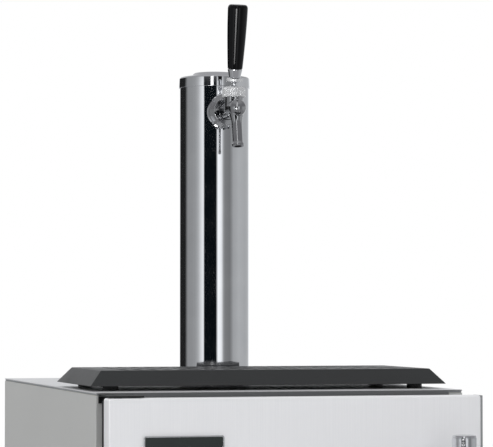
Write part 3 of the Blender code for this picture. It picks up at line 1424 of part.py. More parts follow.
def make_tower():
    """Mounting flange, column, base ring, insulation sleeve, cap and beer line."""
    foot = Vector((0, TOWER_Y, CABINET_HEIGHT + CLEARANCE))
    spigot = TOWER_INSIDE - CLEARANCE
    profile = [
        (TOWER_FLANGE_BORE, 0),
        (spigot, 0),
        (spigot, TOWER_FLANGE_SPIGOT),
        (spigot - TOWER_FLANGE_WALL, TOWER_FLANGE_SPIGOT),
        (spigot - TOWER_FLANGE_WALL, TOWER_FLANGE_WEB),
        (TOWER_FLANGE_BORE, TOWER_FLANGE_WEB),
    ]
    turned("tower_flange", profile, foot, Z, "galvanised_steel", TOWER_SIDES, ring=True)

    column = tube(
        "tower_column", TOWER_RADIUS, TOWER_INSIDE, foot, Z, TOWER_HEIGHT, "polished_chrome", TOWER_SIDES
    )
    shank_hole_base = (0, TOWER_Y, SHANK_Z)
    shank_hole = rod(
        "shank_hole", SHANK_RADIUS + CLEARANCE, shank_hole_base, -Y, TOWER_DIAMETER, sides=ROUND_SIDES
    )
    cut(column, shank_hole)

    ring_bore = TOWER_RADIUS + CLEARANCE
    ring_radius = ring_bore + BASE_RING_WALL
    profile = [
        (ring_bore, 0),
        (ring_radius, 0),
        (ring_radius, BASE_RING_HEIGHT * 0.6),
        (ring_bore + BASE_RING_WALL * 0.4, BASE_RING_HEIGHT),
        (ring_bore, BASE_RING_HEIGHT),
    ]
    turned("tower_base_ring", profile, foot, Z, "polished_chrome", TOWER_SIDES, ring=True)

    sleeve_foot = foot + Z * (TOWER_FLANGE_SPIGOT + CLEARANCE)
    sleeve_height = SHANK_Z - SLEEVE_DROP - sleeve_foot.z
    tube("tower_insulation", spigot, SLEEVE_BORE, sleeve_foot, Z, sleeve_height, "foam")

    cap_bore = TOWER_RADIUS + CLEARANCE
    cap_radius = cap_bore + CAP_WALL
    slope_top = CAP_BAND_HEIGHT + CAP_SLOPE_RISE
    step_top = slope_top + CAP_STEP_RISE
    crown = step_top + CAP_CROWN_RISE
    under = CAP_LAP + CLEARANCE * 2
    profile = [
        (0, crown),
        (cap_radius * 0.45, step_top + CAP_CROWN_RISE * 0.6),
        (cap_radius * 0.58, step_top),
        (cap_radius * 0.66, slope_top),
        (cap_radius - CAP_WALL, CAP_BAND_HEIGHT),
        (cap_radius, CAP_BAND_HEIGHT - CAP_WALL),
        (cap_radius, 0),
        (cap_bore, 0),
        (cap_bore, under),
        (0, under),
    ]
    cap_foot = Vector((0, TOWER_Y, CAP_EDGE_Z))
    cap = turned("tower_cap", profile, cap_foot, Z, "polished_chrome", TOWER_SIDES)
    carry(joint("cap_axis", cap_foot), cap)

    line_top = SHANK_Z - LINE_TOP_DROP
    line_foot = Vector((0, TOWER_Y, CEILING - LINE_DROP))
    line_length = line_top - line_foot.z
    tube("beer_line", LINE_RADIUS, LINE_BORE, line_foot, Z, line_length, "line_vinyl", SMALL_SIDES)


def make_shank():
    """The shank through the tower's wall, its nut and elbow inside, and the coupling nut outside."""
    axis = Vector((0, TOWER_Y, SHANK_Z))
    tail = axis - Y * SHANK_TAIL_REACH
    length = SHANK_REACH - SHANK_TAIL_REACH
    shank = tube("tap_shank", SHANK_RADIUS, SHANK_BORE, tail, -Y, length, "polished_chrome")
    flange_base = axis - Y * (TOWER_RADIUS - OVERRUN)
    flange = tube(
        "wall_flange",
        WALL_FLANGE_RADIUS,
        SHANK_RADIUS - SEALING_OVERLAP,
        flange_base,
        -Y,
        WALL_FLANGE_STAND + OVERRUN,
    )
    saddle_base = axis - Z * WALL_FLANGE_RADIUS * 2
    saddle = tube(
        "flange_saddle",
        TOWER_RADIUS + CLEARANCE,
        SHANK_RADIUS + CLEARANCE,
        saddle_base,
        Z,
        WALL_FLANGE_RADIUS * 4,
        sides=TOWER_SIDES,
    )
    cut(flange, saddle)
    join(shank, flange)

    nut_reach = TOWER_INSIDE - CLEARANCE
    corners = [(axis.x + x, axis.z + z) for x, z in hexagon(SHANK_NUT_RADIUS)]
    nut_back = axis.y - nut_reach + SHANK_NUT_LENGTH
    nut = prism("shank_nut", corners, "Y", axis.y - nut_reach, nut_back, "brass")
    nut_bore = rod(
        "shank_nut_bore", SHANK_RADIUS + CLEARANCE, axis, -Y, TOWER_DIAMETER, sides=ROUND_SIDES
    )
    outside = tube(
        "nut_saddle",
        TOWER_DIAMETER,
        TOWER_INSIDE - CLEARANCE,
        saddle_base,
        Z,
        WALL_FLANGE_RADIUS * 4,
        sides=TOWER_SIDES,
    )
    cut(nut, nut_bore, outside)

    elbow_start = axis - Y * (SHANK_TAIL_REACH - CLEARANCE)
    elbow = rod(
        "shank_elbow", ELBOW_RADIUS, elbow_start, Y, SHANK_TAIL_REACH + ELBOW_RADIUS, "brass", SMALL_SIDES
    )
    down = rod("elbow_down", ELBOW_RADIUS, axis, -Z, LINE_TOP_DROP - CLEARANCE)
    join(elbow, down)

    nut_length = COUPLING_NUT_LENGTH
    inner = TAIL_RADIUS + CLEARANCE
    lip = BARREL_RADIUS + CLEARANCE
    lip_start = nut_length - COUPLING_NUT_LIP
    edge = SEALING_OVERLAP
    profile = [
        (inner, 0),
        (COUPLING_NUT_RADIUS - edge, 0),
        (COUPLING_NUT_RADIUS, edge),
        (COUPLING_NUT_RADIUS, nut_length * 0.62),
        (COUPLING_NUT_RADIUS * 0.78, nut_length),
        (lip, nut_length),
        (lip, lip_start),
        (inner, lip_start),
    ]
    coupling = turned("coupling_nut", profile, axis - Y * NUT_REACH, -Y, "polished_chrome", ring=True)
    notches = []
    for number in range(COUPLING_NUT_NOTCHES):
        angle = 2 * pi * number / COUPLING_NUT_NOTCHES + pi / 2
        notch = block(
            f"coupling_notch_{number}",
            (COUPLING_NUT_RADIUS - COUPLING_NOTCH_DEPTH, -nut_length, -COUPLING_NOTCH_WIDTH / 2),
            (COUPLING_NUT_RADIUS + OVERRUN, nut_length, COUPLING_NOTCH_WIDTH / 2),
        )
        place = Matrix.Translation(axis - Y * (NUT_REACH + nut_length / 2))
        notch.data.transform(place @ Matrix.Rotation(angle, 4, "Y"))
        notches.append(notch)
    cut(coupling, gather("coupling_notches", notches))


def make_faucet():
    """The faucet's body with its spout, the valve shaft inside it, and the bonnet on top."""
    axis = Vector((0, TOWER_Y, SHANK_Z))
    head_y = axis - Y * PIVOT_REACH
    barrel_length = PIVOT_REACH + NOSE_OVERREACH - TAIL_REACH
    nose = [
        (BARREL_RADIUS * cos(radians(angle)), barrel_length + BARREL_RADIUS * sin(radians(angle)))
        for angle in (0, 18, 36, 54, 72)
    ]
    profile = [
        (0, 0),
        (TAIL_RADIUS, 0),
        (TAIL_RADIUS, TAIL_LENGTH),
        (BARREL_RADIUS, TAIL_LENGTH),
        *nose,
        (0, barrel_length + BARREL_RADIUS),
    ]
    body = turned("faucet_body", profile, axis - Y * TAIL_REACH, -Y, "polished_chrome")
    head_length = HEAD_DROP + HEAD_RISE
    head = rod("faucet_head", HEAD_RADIUS, head_y - Z * HEAD_DROP, Z, head_length, sides=ROUND_SIDES)
    profile = [
        (0, 0),
        (SPOUT_TOP_RADIUS, 0),
        (SPOUT_TOP_RADIUS * 0.95, SPOUT_FUNNEL_LENGTH * 0.3),
        (SPOUT_TOP_RADIUS * 0.82, SPOUT_FUNNEL_LENGTH * 0.52),
        (SPOUT_TOP_RADIUS * 0.71, SPOUT_FUNNEL_LENGTH * 0.76),
        (SPOUT_RADIUS, SPOUT_FUNNEL_LENGTH),
        (SPOUT_RADIUS, SPOUT_LENGTH - SPOUT_LIP_LENGTH),
        (SPOUT_LIP_RADIUS, SPOUT_LENGTH - SPOUT_LIP_LENGTH / 2),
        (SPOUT_LIP_RADIUS, SPOUT_LENGTH),
        (0, SPOUT_LENGTH),
    ]
    spout_root = head_y - Y * SPOUT_OVERREACH
    spout = turned("faucet_spout", profile, spout_root, SPOUT_AXIS)
    join(body, head, spout)

    seat_reach = PIVOT_REACH - VALVE_SEAT_SETBACK
    seat_start = seat_reach - TAIL_REACH + OVERRUN
    seat_end = seat_start + VALVE_SEAT_LENGTH
    passage_end = PIVOT_REACH + LEVER_CHAMBER_FRONT - TAIL_REACH + OVERRUN
    profile = [
        (0, 0),
        (VALVE_CHAMBER_RADIUS, 0),
        (VALVE_CHAMBER_RADIUS, seat_start),
        (VALVE_SEAT_BORE, seat_start),
        (VALVE_SEAT_BORE, seat_end),
        (LEVER_CHAMBER_RADIUS, seat_end),
        (LEVER_CHAMBER_RADIUS, passage_end),
        (0, passage_end),
    ]
    passage = turned("faucet_passage", profile, axis - Y * (TAIL_REACH - OVERRUN), -Y, sides=PASSAGE_SIDES)
    well = rod(
        "ball_well",
        BALL_WELL_RADIUS,
        head_y + Z * BALL_WELL_RISE,
        Z,
        HEAD_RISE - BALL_WELL_RISE + OVERRUN,
        sides=ROUND_SIDES,
    )
    bore = rod("spout_bore", SPOUT_BORE, spout_root, SPOUT_AXIS, SPOUT_LENGTH + OVERRUN)
    cut(body, bore, passage, well)

    washer_reach = seat_reach - CLEARANCE - WASHER_LENGTH
    shaft_end = PIVOT_REACH + SHAFT_OVERREACH - washer_reach
    profile = [
        (0, 0),
        (WASHER_RADIUS, 0),
        (WASHER_RADIUS, WASHER_LENGTH),
        (SHAFT_RADIUS, WASHER_LENGTH),
        (SHAFT_RADIUS, shaft_end),
        (0, shaft_end),
    ]
    washer_place = axis - Y * washer_reach
    shaft = turned("faucet_valve", profile, washer_place, -Y, "polished_chrome", SMALL_SIDES)
    half_slot = Vector((SHAFT_SLOT_WIDTH, SHAFT_SLOT_LENGTH, SHAFT_RADIUS * 4)) / 2
    slot = block("shaft_slot", head_y - half_slot, head_y + half_slot)
    carry(joint("valve_axis", washer_place), shaft, slot)
    cut(shaft, slot)

    bonnet_foot = head_y + Z * (HEAD_RISE - BONNET_OVERLAP)
    over_head = HEAD_RADIUS + CLEARANCE
    head_top = BONNET_OVERLAP + CLEARANCE
    lip_foot = BONNET_HEIGHT - BONNET_LIP_HEIGHT
    profile = [
        (over_head, 0),
        (BONNET_RADIUS, 0),
        (BONNET_RADIUS, BONNET_HEIGHT - BONNET_CHAMFER),
        (BONNET_RADIUS - BONNET_CHAMFER, BONNET_HEIGHT),
        (BONNET_LIP_RADIUS, BONNET_HEIGHT),
        (BONNET_LIP_RADIUS, lip_foot),
        (BALL_WELL_RADIUS, lip_foot),
        (BALL_WELL_RADIUS, head_top),
        (over_head, head_top),
    ]
    bonnet = turned("faucet_bonnet", profile, bonnet_foot, Z, "polished_chrome", BONNET_FLUTES * 2, ring=True)
    flutes = []
    for number in range(BONNET_FLUTES):
        angle = 2 * pi * (number + 0.5) / BONNET_FLUTES
        out = X * cos(angle) + Y * sin(angle)
        base = bonnet_foot + out * (BONNET_RADIUS + BONNET_FLUTE_RADIUS * 0.7) - Z * OVERRUN
        length = BONNET_HEIGHT + OVERRUN * 2
        flutes.append(rod(f"flute_{number}", BONNET_FLUTE_RADIUS, base, Z, length, sides=6))
    cut(bonnet, gather("bonnet_flutes", flutes))


def make_lever():
    """The lever with its ball and pin, and the ferrule and handle screwed on it."""
    lever_joint = joint("tap_lever_axis", PIVOT)
    neck_angle = asin(LEVER_NECK_RADIUS / BALL_RADIUS)
    arc = [
        (BALL_RADIUS * sin(angle), -BALL_RADIUS * cos(angle))
        for angle in ((pi - neck_angle) * step / 10 for step in range(11))
    ]
    stud_top = COLLAR_TOP + LEVER_STUD_LENGTH
    profile = [
        *arc,
        (LEVER_NECK_RADIUS, LEVER_NECK_HEIGHT),
        (LEVER_COLLAR_RADIUS, COLLAR_FOOT),
        (LEVER_COLLAR_RADIUS, COLLAR_TOP),
        (LEVER_STUD_RADIUS, COLLAR_TOP),
        (LEVER_STUD_RADIUS, stud_top),
        (0, stud_top),
    ]
    lever = turned("tap_lever", profile, PIVOT, LEVER_AXIS, "polished_chrome")
    pin = rod("lever_pin", LEVER_PIN_RADIUS, PIVOT, -Z, PIVOT_RISE + LEVER_PIN_OVERREACH)

    ferrule_foot = COLLAR_TOP + CLEARANCE
    bore = LEVER_STUD_RADIUS + CLEARANCE
    profile = [
        (bore, 0),
        (FERRULE_FOOT_RADIUS, 0),
        (FERRULE_TOP_RADIUS, FERRULE_HEIGHT * 0.9),
        (FERRULE_TOP_RADIUS, FERRULE_HEIGHT),
        (bore, FERRULE_HEIGHT),
    ]
    ferrule_base = PIVOT + LEVER_AXIS * ferrule_foot
    ferrule = turned("handle_ferrule", profile, ferrule_base, LEVER_AXIS, "polished_chrome", ring=True)

    handle_foot = ferrule_foot + FERRULE_HEIGHT + CLEARANCE
    bore_depth = stud_top - handle_foot + HANDLE_BORE_CLEARANCE
    rounding = HANDLE_ROUNDING
    swell = HANDLE_TOP_RADIUS - HANDLE_FOOT_RADIUS
    profile = [
        (0, bore_depth),
        (bore, bore_depth),
        (bore, 0),
        (HANDLE_FOOT_RADIUS, 0),
        (HANDLE_FOOT_RADIUS + swell * 0.4, HANDLE_HEIGHT * 0.35),
        (HANDLE_FOOT_RADIUS + swell * 0.8, HANDLE_HEIGHT * 0.7),
        (HANDLE_TOP_RADIUS, HANDLE_HEIGHT - rounding),
        (HANDLE_TOP_RADIUS - rounding * 0.3, HANDLE_HEIGHT - rounding * 0.3),
        (HANDLE_TOP_RADIUS - rounding, HANDLE_HEIGHT),
        (0, HANDLE_HEIGHT),
    ]
    handle_base = PIVOT + LEVER_AXIS * handle_foot
    handle = turned("tap_handle", profile, handle_base, LEVER_AXIS, "black_resin")
    carry(lever_joint, lever, pin, ferrule, handle)
    join(lever, pin)


def make_drip_tray():
    """The drip tray, a sloped frame over a floor on four feet, and the grid in its recess."""
    half_width, half_depth = TRAY_SIDE, TRAY_DEPTH / 2
    foot = Vector((0, TRAY_MIDDLE_Y, TRAY_FOOT))
    shape = bmesh.new()
    bmesh.ops.create_cube(shape, size=1)
    for vertex in shape.verts:
        inset = TRAY_SLOPE_INSET if vertex.co.z > 0 else 0
        vertex.co = foot + Vector(
            (
                (half_width - inset) * (1 if vertex.co.x > 0 else -1),
                (half_depth - inset) * (1 if vertex.co.y > 0 else -1),
                TRAY_HEIGHT if vertex.co.z > 0 else 0,
            )
        )
    tray = piece("drip_tray", shape, "black_moulding")
    floor_height = TRAY_HEIGHT - TRAY_WELL_DEPTH
    seat_x, seat_y = half_width - TRAY_LIP, half_depth - TRAY_LIP
    seat = block(
        "tray_seat",
        foot + Vector((-seat_x, -seat_y, -OVERRUN)),
        foot + Vector((seat_x, seat_y, floor_height + CLEARANCE)),
    )
    floor_x, floor_y = seat_x - CLEARANCE, seat_y - CLEARANCE
    floor = block(
        "drip_tray_floor",
        foot + Vector((-floor_x, -floor_y, 0)),
        foot + Vector((floor_x, floor_y, floor_height)),
        "black_moulding",
    )

    recess_x = half_width - TRAY_SLOPE_INSET - TRAY_RIM
    recess_y = half_depth - TRAY_SLOPE_INSET - TRAY_RIM
    recess_depth = GRID_SHEET + CLEARANCE
    recess = block(
        "tray_recess",
        foot + Vector((-recess_x, -recess_y, TRAY_HEIGHT - recess_depth)),
        foot + Vector((recess_x, recess_y, TRAY_HEIGHT + OVERRUN)),
    )
    well_x, well_y = recess_x - TRAY_LEDGE, recess_y - TRAY_LEDGE
    well = block(
        "tray_well",
        foot + Vector((-well_x, -well_y, floor_height)),
        foot + Vector((well_x, well_y, TRAY_HEIGHT + OVERRUN)),
    )
    feet = []
    for side in (-1, 1):
        for row in (-1, 1):
            place = Vector(
                (
                    side * (half_width - TRAY_FOOT_INSET),
                    TRAY_MIDDLE_Y + row * (half_depth - TRAY_FOOT_INSET),
                    CABINET_HEIGHT + CLEARANCE,
                )
            )
            length = TRAY_UNDERSIDE_GAP - CLEARANCE + SEALING_OVERLAP
            feet.append(rod(f"tray_foot_{side}_{row}", TRAY_FOOT_RADIUS, place, Z, length))
    carry(joint("drip_tray_axis", foot), tray, seat, recess, well, floor, *feet)
    cut(tray, seat, recess, well)
    join(floor, *feet)

    grid_x, grid_y = recess_x - CLEARANCE, recess_y - CLEARANCE
    grid_top = TRAY_HEIGHT
    grid = block(
        "drip_grid",
        foot + Vector((-grid_x, -grid_y, grid_top - GRID_SHEET)),
        foot + Vector((grid_x, grid_y, grid_top)),
        "black_moulding",
    )
    openings = slots(
        "grid_slots",
        GRID_SLOT_COLUMNS,
        GRID_SLOT_ROWS,
        (grid_x - GRID_END_MARGIN) * 2 / (GRID_SLOT_COLUMNS - 1),
        GRID_SLOT_SPACING,
        (GRID_SLOT_LENGTH, GRID_SLOT_WIDTH),
        foot + Z * grid_top,
        X,
        Y,
        Z,
    )
    carry(joint("drip_grid_axis", foot + Z * grid_top), grid, openings)
    cut(grid, openings)


def main():
    """Builds every piece of the dispenser."""
    clear_scene()
    make_panels()
    make_insulated_body()
    make_base()
    make_keg_plate()
    make_evaporator()
    make_fan()
    make_compressor()
    make_condenser()
    make_inlet()
    make_gas_supply()
    make_coupler()
    make_door()
    make_hinges()
    make_tower()
    make_shank()
    make_faucet()
    make_lever()
    make_drip_tray()


main()
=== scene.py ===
"""The looks of a single-tap outdoor beer dispenser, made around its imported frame.

+Z is up, X runs to the right, Y to the back, and the door faces -Y. Each sub-assembly is a class that
holds its sizes, and builds and dresses its pieces. Sizes and places are in millimetres, and the functions
that make shapes turn them into metres. Profiles are (radius, height) points along an axis.
"""

from __future__ import annotations

import json
import logging
from dataclasses import dataclass
from enum import Enum
from math import cos, pi, radians, sin, sqrt
from typing import Any, Iterable, Sequence, Union

import bmesh
import bpy
from bmesh.types import BMesh
from mathutils import Matrix, Vector

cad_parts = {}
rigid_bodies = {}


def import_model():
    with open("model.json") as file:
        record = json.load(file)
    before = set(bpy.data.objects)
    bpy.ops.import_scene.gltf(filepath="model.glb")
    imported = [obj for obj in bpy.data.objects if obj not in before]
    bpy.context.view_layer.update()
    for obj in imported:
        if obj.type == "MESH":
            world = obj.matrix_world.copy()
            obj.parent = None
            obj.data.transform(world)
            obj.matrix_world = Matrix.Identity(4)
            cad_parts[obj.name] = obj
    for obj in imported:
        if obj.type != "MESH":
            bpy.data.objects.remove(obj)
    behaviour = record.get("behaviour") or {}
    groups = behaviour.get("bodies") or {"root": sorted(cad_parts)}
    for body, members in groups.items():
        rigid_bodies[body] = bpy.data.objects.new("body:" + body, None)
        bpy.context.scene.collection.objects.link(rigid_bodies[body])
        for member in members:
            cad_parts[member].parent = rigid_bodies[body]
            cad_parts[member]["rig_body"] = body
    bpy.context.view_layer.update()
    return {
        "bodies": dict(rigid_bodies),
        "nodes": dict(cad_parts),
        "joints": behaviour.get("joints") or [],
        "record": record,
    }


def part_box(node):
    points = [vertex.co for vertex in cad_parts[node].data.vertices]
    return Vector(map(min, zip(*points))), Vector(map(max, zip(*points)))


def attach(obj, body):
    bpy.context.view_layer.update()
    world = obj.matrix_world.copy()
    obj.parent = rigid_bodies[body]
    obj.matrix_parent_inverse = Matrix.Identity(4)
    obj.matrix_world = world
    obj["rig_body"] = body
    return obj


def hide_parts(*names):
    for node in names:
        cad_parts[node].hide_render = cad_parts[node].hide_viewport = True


LOG = logging.getLogger("beer_dispenser")
MM = 0.001
X, Y, Z = Vector((1, 0, 0)), Vector((0, 1, 0)), Vector((0, 0, 1))
FINE_SIDES = 144
SMOOTH_SIDES = 72
ROUND_SIDES = 64
SMALL_SIDES = 32
MERGE = 0.001 * MM
CORNER = radians(20)

Place = Union[Vector, Sequence[float]]
Profile = Sequence[tuple[float, float]]


class Operation(Enum):
    """How two closed shapes are put together."""

    UNION = "UNION"
    CUT = "DIFFERENCE"


class Grain(Enum):
    """The axis that a brushed or drawn surface's lines run along."""

    X = (1, 0, 0)
    Y = (0, 1, 0)
    Z = (0, 0, 1)


# ---------------------------------------------------------------- shapes


def extent(node: str) -> tuple[Vector, Vector]:
    """The lowest and the highest corner of a node."""
    low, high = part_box(node)
    return Vector(low) / MM, Vector(high) / MM


def front_middle(node: str) -> Vector:
    """The middle of a node's front side."""
    low, high = extent(node)
    return Vector(((low.x + high.x) / 2, low.y, (low.z + high.z) / 2))


def spoke(angle: float, other: Vector = Z) -> Vector:
    """The unit vector at an angle from X towards another axis."""
    return X * cos(angle) + other * sin(angle)


def meshed(name: str, shape: BMesh) -> bpy.types.Mesh:
    """A mesh of a shape, which is freed."""
    mesh = bpy.data.meshes.new(name)
    shape.to_mesh(mesh)
    shape.free()
    return mesh


def placed(name: str, data: bpy.types.ID) -> bpy.types.Object:
    """A new object in the scene."""
    made = bpy.data.objects.new(name, data)
    bpy.context.scene.collection.objects.link(made)
    return made


def bevelled(shape: BMesh, parts: list[Any], width: float, segments: int, affect: str = "EDGES") -> BMesh:
    """Rounds edges or corners of a shape, starting a width away from them, and returns it."""
    bmesh.ops.bevel(
        shape, geom=parts, offset=width * MM, offset_type="OFFSET", segments=segments, profile=0.5,
        affect=affect, material=-1, clamp_overlap=True,
    )
    return shape


def ease(shape: BMesh, width: float, segments: int = 2, least: float = 30.0) -> BMesh:
    """Rounds the edges of a shape that turn by more than an angle.

    Args:
        shape: a closed shape.
        width: how far from the edge the rounding starts.
        segments: faces across each rounding.
        least: the smallest angle between two faces that counts as an edge, in degrees.

    Returns:
        The same shape.
    """
    sharp = [edge for edge in shape.edges if edge.is_manifold and edge.calc_face_angle(0) > radians(least)]
    return bevelled(shape, sharp, width, segments)


def closed(shape: BMesh) -> BMesh:
    """Merges the points that lie together, turns every face outwards, and returns the shape."""
    bmesh.ops.remove_doubles(shape, verts=shape.verts, dist=MERGE)
    bmesh.ops.recalc_face_normals(shape, faces=shape.faces)
    return shape


def lathe(
    profile: Profile, base: Place, direction: Vector = Z, sides: int = ROUND_SIDES, rounding: float = 0.3,
    ring: bool = False,
) -> BMesh:
    """Spins a profile about an axis, with its sharp corners rounded first.

    Args:
        profile: (radius, height) points.
        base: where height zero of the axis is.
        direction: the axis.
        sides: steps of the spin.
        rounding: how far from a corner its rounding starts.
        ring: whether the profile closes on itself, as round a bore.

    Returns:
        The closed shape.
    """
    shape = bmesh.new()
    points = [shape.verts.new((radius * MM, 0, height * MM)) for radius, height in profile]
    for start, end in zip(points, points[1:]):
        shape.edges.new((start, end))
    if ring:
        shape.edges.new((points[-1], points[0]))
    corners = []
    for point in points:
        if len(point.link_edges) == 2:
            one, other = (edge.other_vert(point).co - point.co for edge in point.link_edges)
            if one.angle(-other) > CORNER:
                corners.append(point)
    if rounding and corners:
        bevelled(shape, corners, rounding, 3, "VERTICES")
    whole = shape.verts[:] + shape.edges[:]
    bmesh.ops.spin(shape, geom=whole, axis=Z, cent=(0, 0, 0), angle=2 * pi, steps=sides, use_merge=True)
    turn = Z.rotation_difference(direction).to_matrix().to_4x4()
    return moved(closed(shape), Matrix.Translation(Vector(base) * MM) @ turn)


def rod(
    radius: float, base: Place, direction: Vector, length: float, sides: int = SMALL_SIDES,
    rounding: float = 0.0,
) -> BMesh:
    """A plain round bar from base along a direction."""
    return lathe([(0, 0), (radius, 0), (radius, length), (0, length)], base, direction, sides, rounding)


def box(low: Place, high: Place, easing: float = 0.0) -> BMesh:
    """A box between its lowest and highest corner, with eased edges where easing isn't zero."""
    shape = bmesh.new()
    bmesh.ops.create_cube(shape, size=1)
    low, high = Vector(low) * MM, Vector(high) * MM
    bmesh.ops.scale(shape, vec=high - low, verts=shape.verts)
    bmesh.ops.translate(shape, vec=(low + high) / 2, verts=shape.verts)
    return ease(shape, easing, 3) if easing else shape


def gathered(shapes: Iterable[BMesh]) -> BMesh:
    """Puts several shapes in one, and frees them."""
    whole = bmesh.new()
    carrier = bpy.data.meshes.new("carrier")
    for shape in shapes:
        shape.to_mesh(carrier)
        shape.free()
        whole.from_mesh(carrier)
    bpy.data.meshes.remove(carrier)
    return whole


def combined(first: BMesh, second: BMesh, operation: Operation) -> BMesh:
    """Unites two closed shapes, or cuts the second out of the first, with the exact solver.

    Args:
        first: the shape that is kept.
        second: the shape that is added or taken away.
        operation: what is done.

    Returns:
        A new shape. Both others are freed.
    """
    kept, other = (placed("working", meshed("working", shape)) for shape in (first, second))
    modifier = kept.modifiers.new("combine", "BOOLEAN")
    modifier.operation = operation.value
    modifier.solver = "EXACT"
    modifier.object = other
    result = evaluated(kept)
    for used in (kept, other):
        mesh = used.data
        bpy.data.objects.remove(used, do_unlink=True)
        bpy.data.meshes.remove(mesh)
    return result


def evaluated(source: bpy.types.Object) -> BMesh:
    """The shape that an object has with its modifiers or its curve's thickness."""
    final = source.evaluated_get(bpy.context.evaluated_depsgraph_get())
    shape = bmesh.new()
    shape.from_mesh(final.to_mesh())
    final.to_mesh_clear()
    return shape


def from_curve(curve: bpy.types.Curve) -> BMesh:
    """Turns a curve or text into a closed shape, and removes it."""
    guide = placed("guide", curve)
    shape = evaluated(guide)
    bpy.data.objects.remove(guide, do_unlink=True)
    bpy.data.curves.remove(curve)
    return closed(shape)


def swept(points: Sequence[Place], radius: float, resolution: int = 3) -> BMesh:
    """A round bar bent along a line of points, with closed ends."""
    curve = bpy.data.curves.new("sweep", "CURVE")
    curve.dimensions = "3D"
    curve.bevel_depth = radius * MM
    curve.bevel_resolution = resolution
    curve.use_fill_caps = True
    spline = curve.splines.new("POLY")
    spline.points.add(len(points) - 1)
    for point, place in zip(spline.points, points):
        point.co = (*(value * MM for value in place), 1)
    return from_curve(curve)


def lettered(text: str, height: float, thickness: float) -> BMesh:
    """A flat numeral or mark that faces +Z, centred on the origin."""
    curve = bpy.data.curves.new("letter", "FONT")
    curve.body = text
    curve.size = height * MM
    curve.extrude = thickness * MM
    curve.align_x = curve.align_y = "CENTER"
    return from_curve(curve)


def moved(shape: BMesh, matrix: Matrix) -> BMesh:
    """Transforms a shape in place, and returns it."""
    bmesh.ops.transform(shape, matrix=matrix, verts=shape.verts)
    return shape


def turned(place: Place, angle: float, axis: str) -> Matrix:
    """The matrix that turns a shape about an axis through the origin, then takes it to a place."""
    return Matrix.Translation(Vector(place) * MM) @ Matrix.Rotation(angle, 4, axis)


def facing(place: Place, direction: Vector, upright: Vector = Z) -> Matrix:
    """The matrix that lays a flat shape at a place, facing a direction, with its top towards upright."""
    across = upright.cross(direction).normalized()
    top = direction.cross(across).normalized()
    turn = Matrix((across, top, direction.normalized())).transposed().to_4x4()
    return Matrix.Translation(Vector(place) * MM) @ turn


# ---------------------------------------------------------------- finishes


def srgb(colour: str) -> tuple[float, float, float, float]:
    """The linear colour of an sRGB hex value such as #a0a1a2."""
    parts = (int(colour[at : at + 2], 16) / 255 for at in (1, 3, 5))
    red, green, blue = (p / 12.92 if p <= 0.04045 else ((p + 0.055) / 1.055) ** 2.4 for p in parts)
    return red, green, blue, 1.0


def per(size: float) -> float:
    """The scale of a pattern on metres whose features are that size."""
    return 1 / (size * MM)


def add(tree: bpy.types.NodeTree, kind: str, links: dict[Any, Any] | None = None, **settings: Any) -> Any:
    """Adds a node with its settings and links.

    Args:
        tree: the node tree.
        kind: the node's type name, without ShaderNode.
        links: for each input, by name or number, the output that it is linked to or its value.
        settings: properties of the node.

    Returns:
        The node.
    """
    made = tree.nodes.new("ShaderNode" + kind)
    for name, value in settings.items():
        setattr(made, name, value)
    for key, value in (links or {}).items():
        if isinstance(value, bpy.types.NodeSocket):
            tree.links.new(value, made.inputs[key])
        else:
            made.inputs[key].default_value = value
    return made


def blended(tree: Any, factor: Any, under: Any, over: Any) -> Any:
    """The socket of a colour between two others, each a colour or a socket."""
    return add(tree, "Mix", {0: factor, 6: under, 7: over}, data_type="RGBA").outputs[2]


@dataclass(frozen=True)
class Finish:
    """A surface: its record slot, colours and gloss. A plain one is an even, slightly worn coat."""

    name: str
    slot: str
    colour: str
    shade: str
    roughness: float = 0.4
    spread: float = 0.08
    metallic: float = 0.0
    pattern: float = 40.0
    relief: float = 0.0
    relief_size: float = 1.0
    specular: float = 0.5

    def material(self) -> bpy.types.Material:
        """The material of this finish, made once."""
        found = bpy.data.materials.get(self.name)
        if found:
            return found
        made = bpy.data.materials.new(self.name)
        made.use_nodes = True
        tree = made.node_tree
        shader = tree.nodes["Principled BSDF"]
        shader.inputs["Metallic"].default_value = self.metallic
        shader.inputs["Specular IOR Level"].default_value = self.specular
        self.dress(tree, shader, add(tree, "TexCoord").outputs["Object"])
        return made

    def cloud(self, tree: Any, place: Any, detail: float) -> Any:
        """Slow clouds of the pattern's size."""
        return add(tree, "TexNoise", {"Vector": place, "Scale": per(self.pattern), "Detail": detail})

    def dress(self, tree: Any, shader: Any, place: Any) -> None:
        """Adds the nodes of the pattern, colour, gloss and relief.

        Args:
            tree: the material's node tree.
            shader: its Principled BSDF.
            place: the coordinates that the pattern lies in.
        """
        self.tint(tree, shader, self.cloud(tree, place, 4.0).outputs["Fac"])
        if self.relief:
            grain = add(tree, "TexNoise", {"Vector": place, "Scale": per(self.relief_size), "Detail": 2.0})
            self.emboss(tree, shader, grain.outputs["Fac"])

    def tint(self, tree: Any, shader: Any, factor: Any) -> None:
        """Runs the two colours and the gloss between them over a pattern."""
        colour = blended(tree, factor, srgb(self.shade), srgb(self.colour))
        tree.links.new(colour, shader.inputs["Base Color"])
        smooth, rough = self.roughness - self.spread, self.roughness + self.spread
        values = {"Value": factor, "From Min": 0.3, "From Max": 0.7, "To Min": smooth, "To Max": rough}
        tree.links.new(add(tree, "MapRange", values).outputs["Result"], shader.inputs["Roughness"])

    def emboss(self, tree: Any, shader: Any, height: Any) -> None:
        """Adds the relief."""
        bump = add(tree, "Bump", {"Height": height, "Strength": 1.0, "Distance": self.relief * MM})
        tree.links.new(bump.outputs["Normal"], shader.inputs["Normal"])


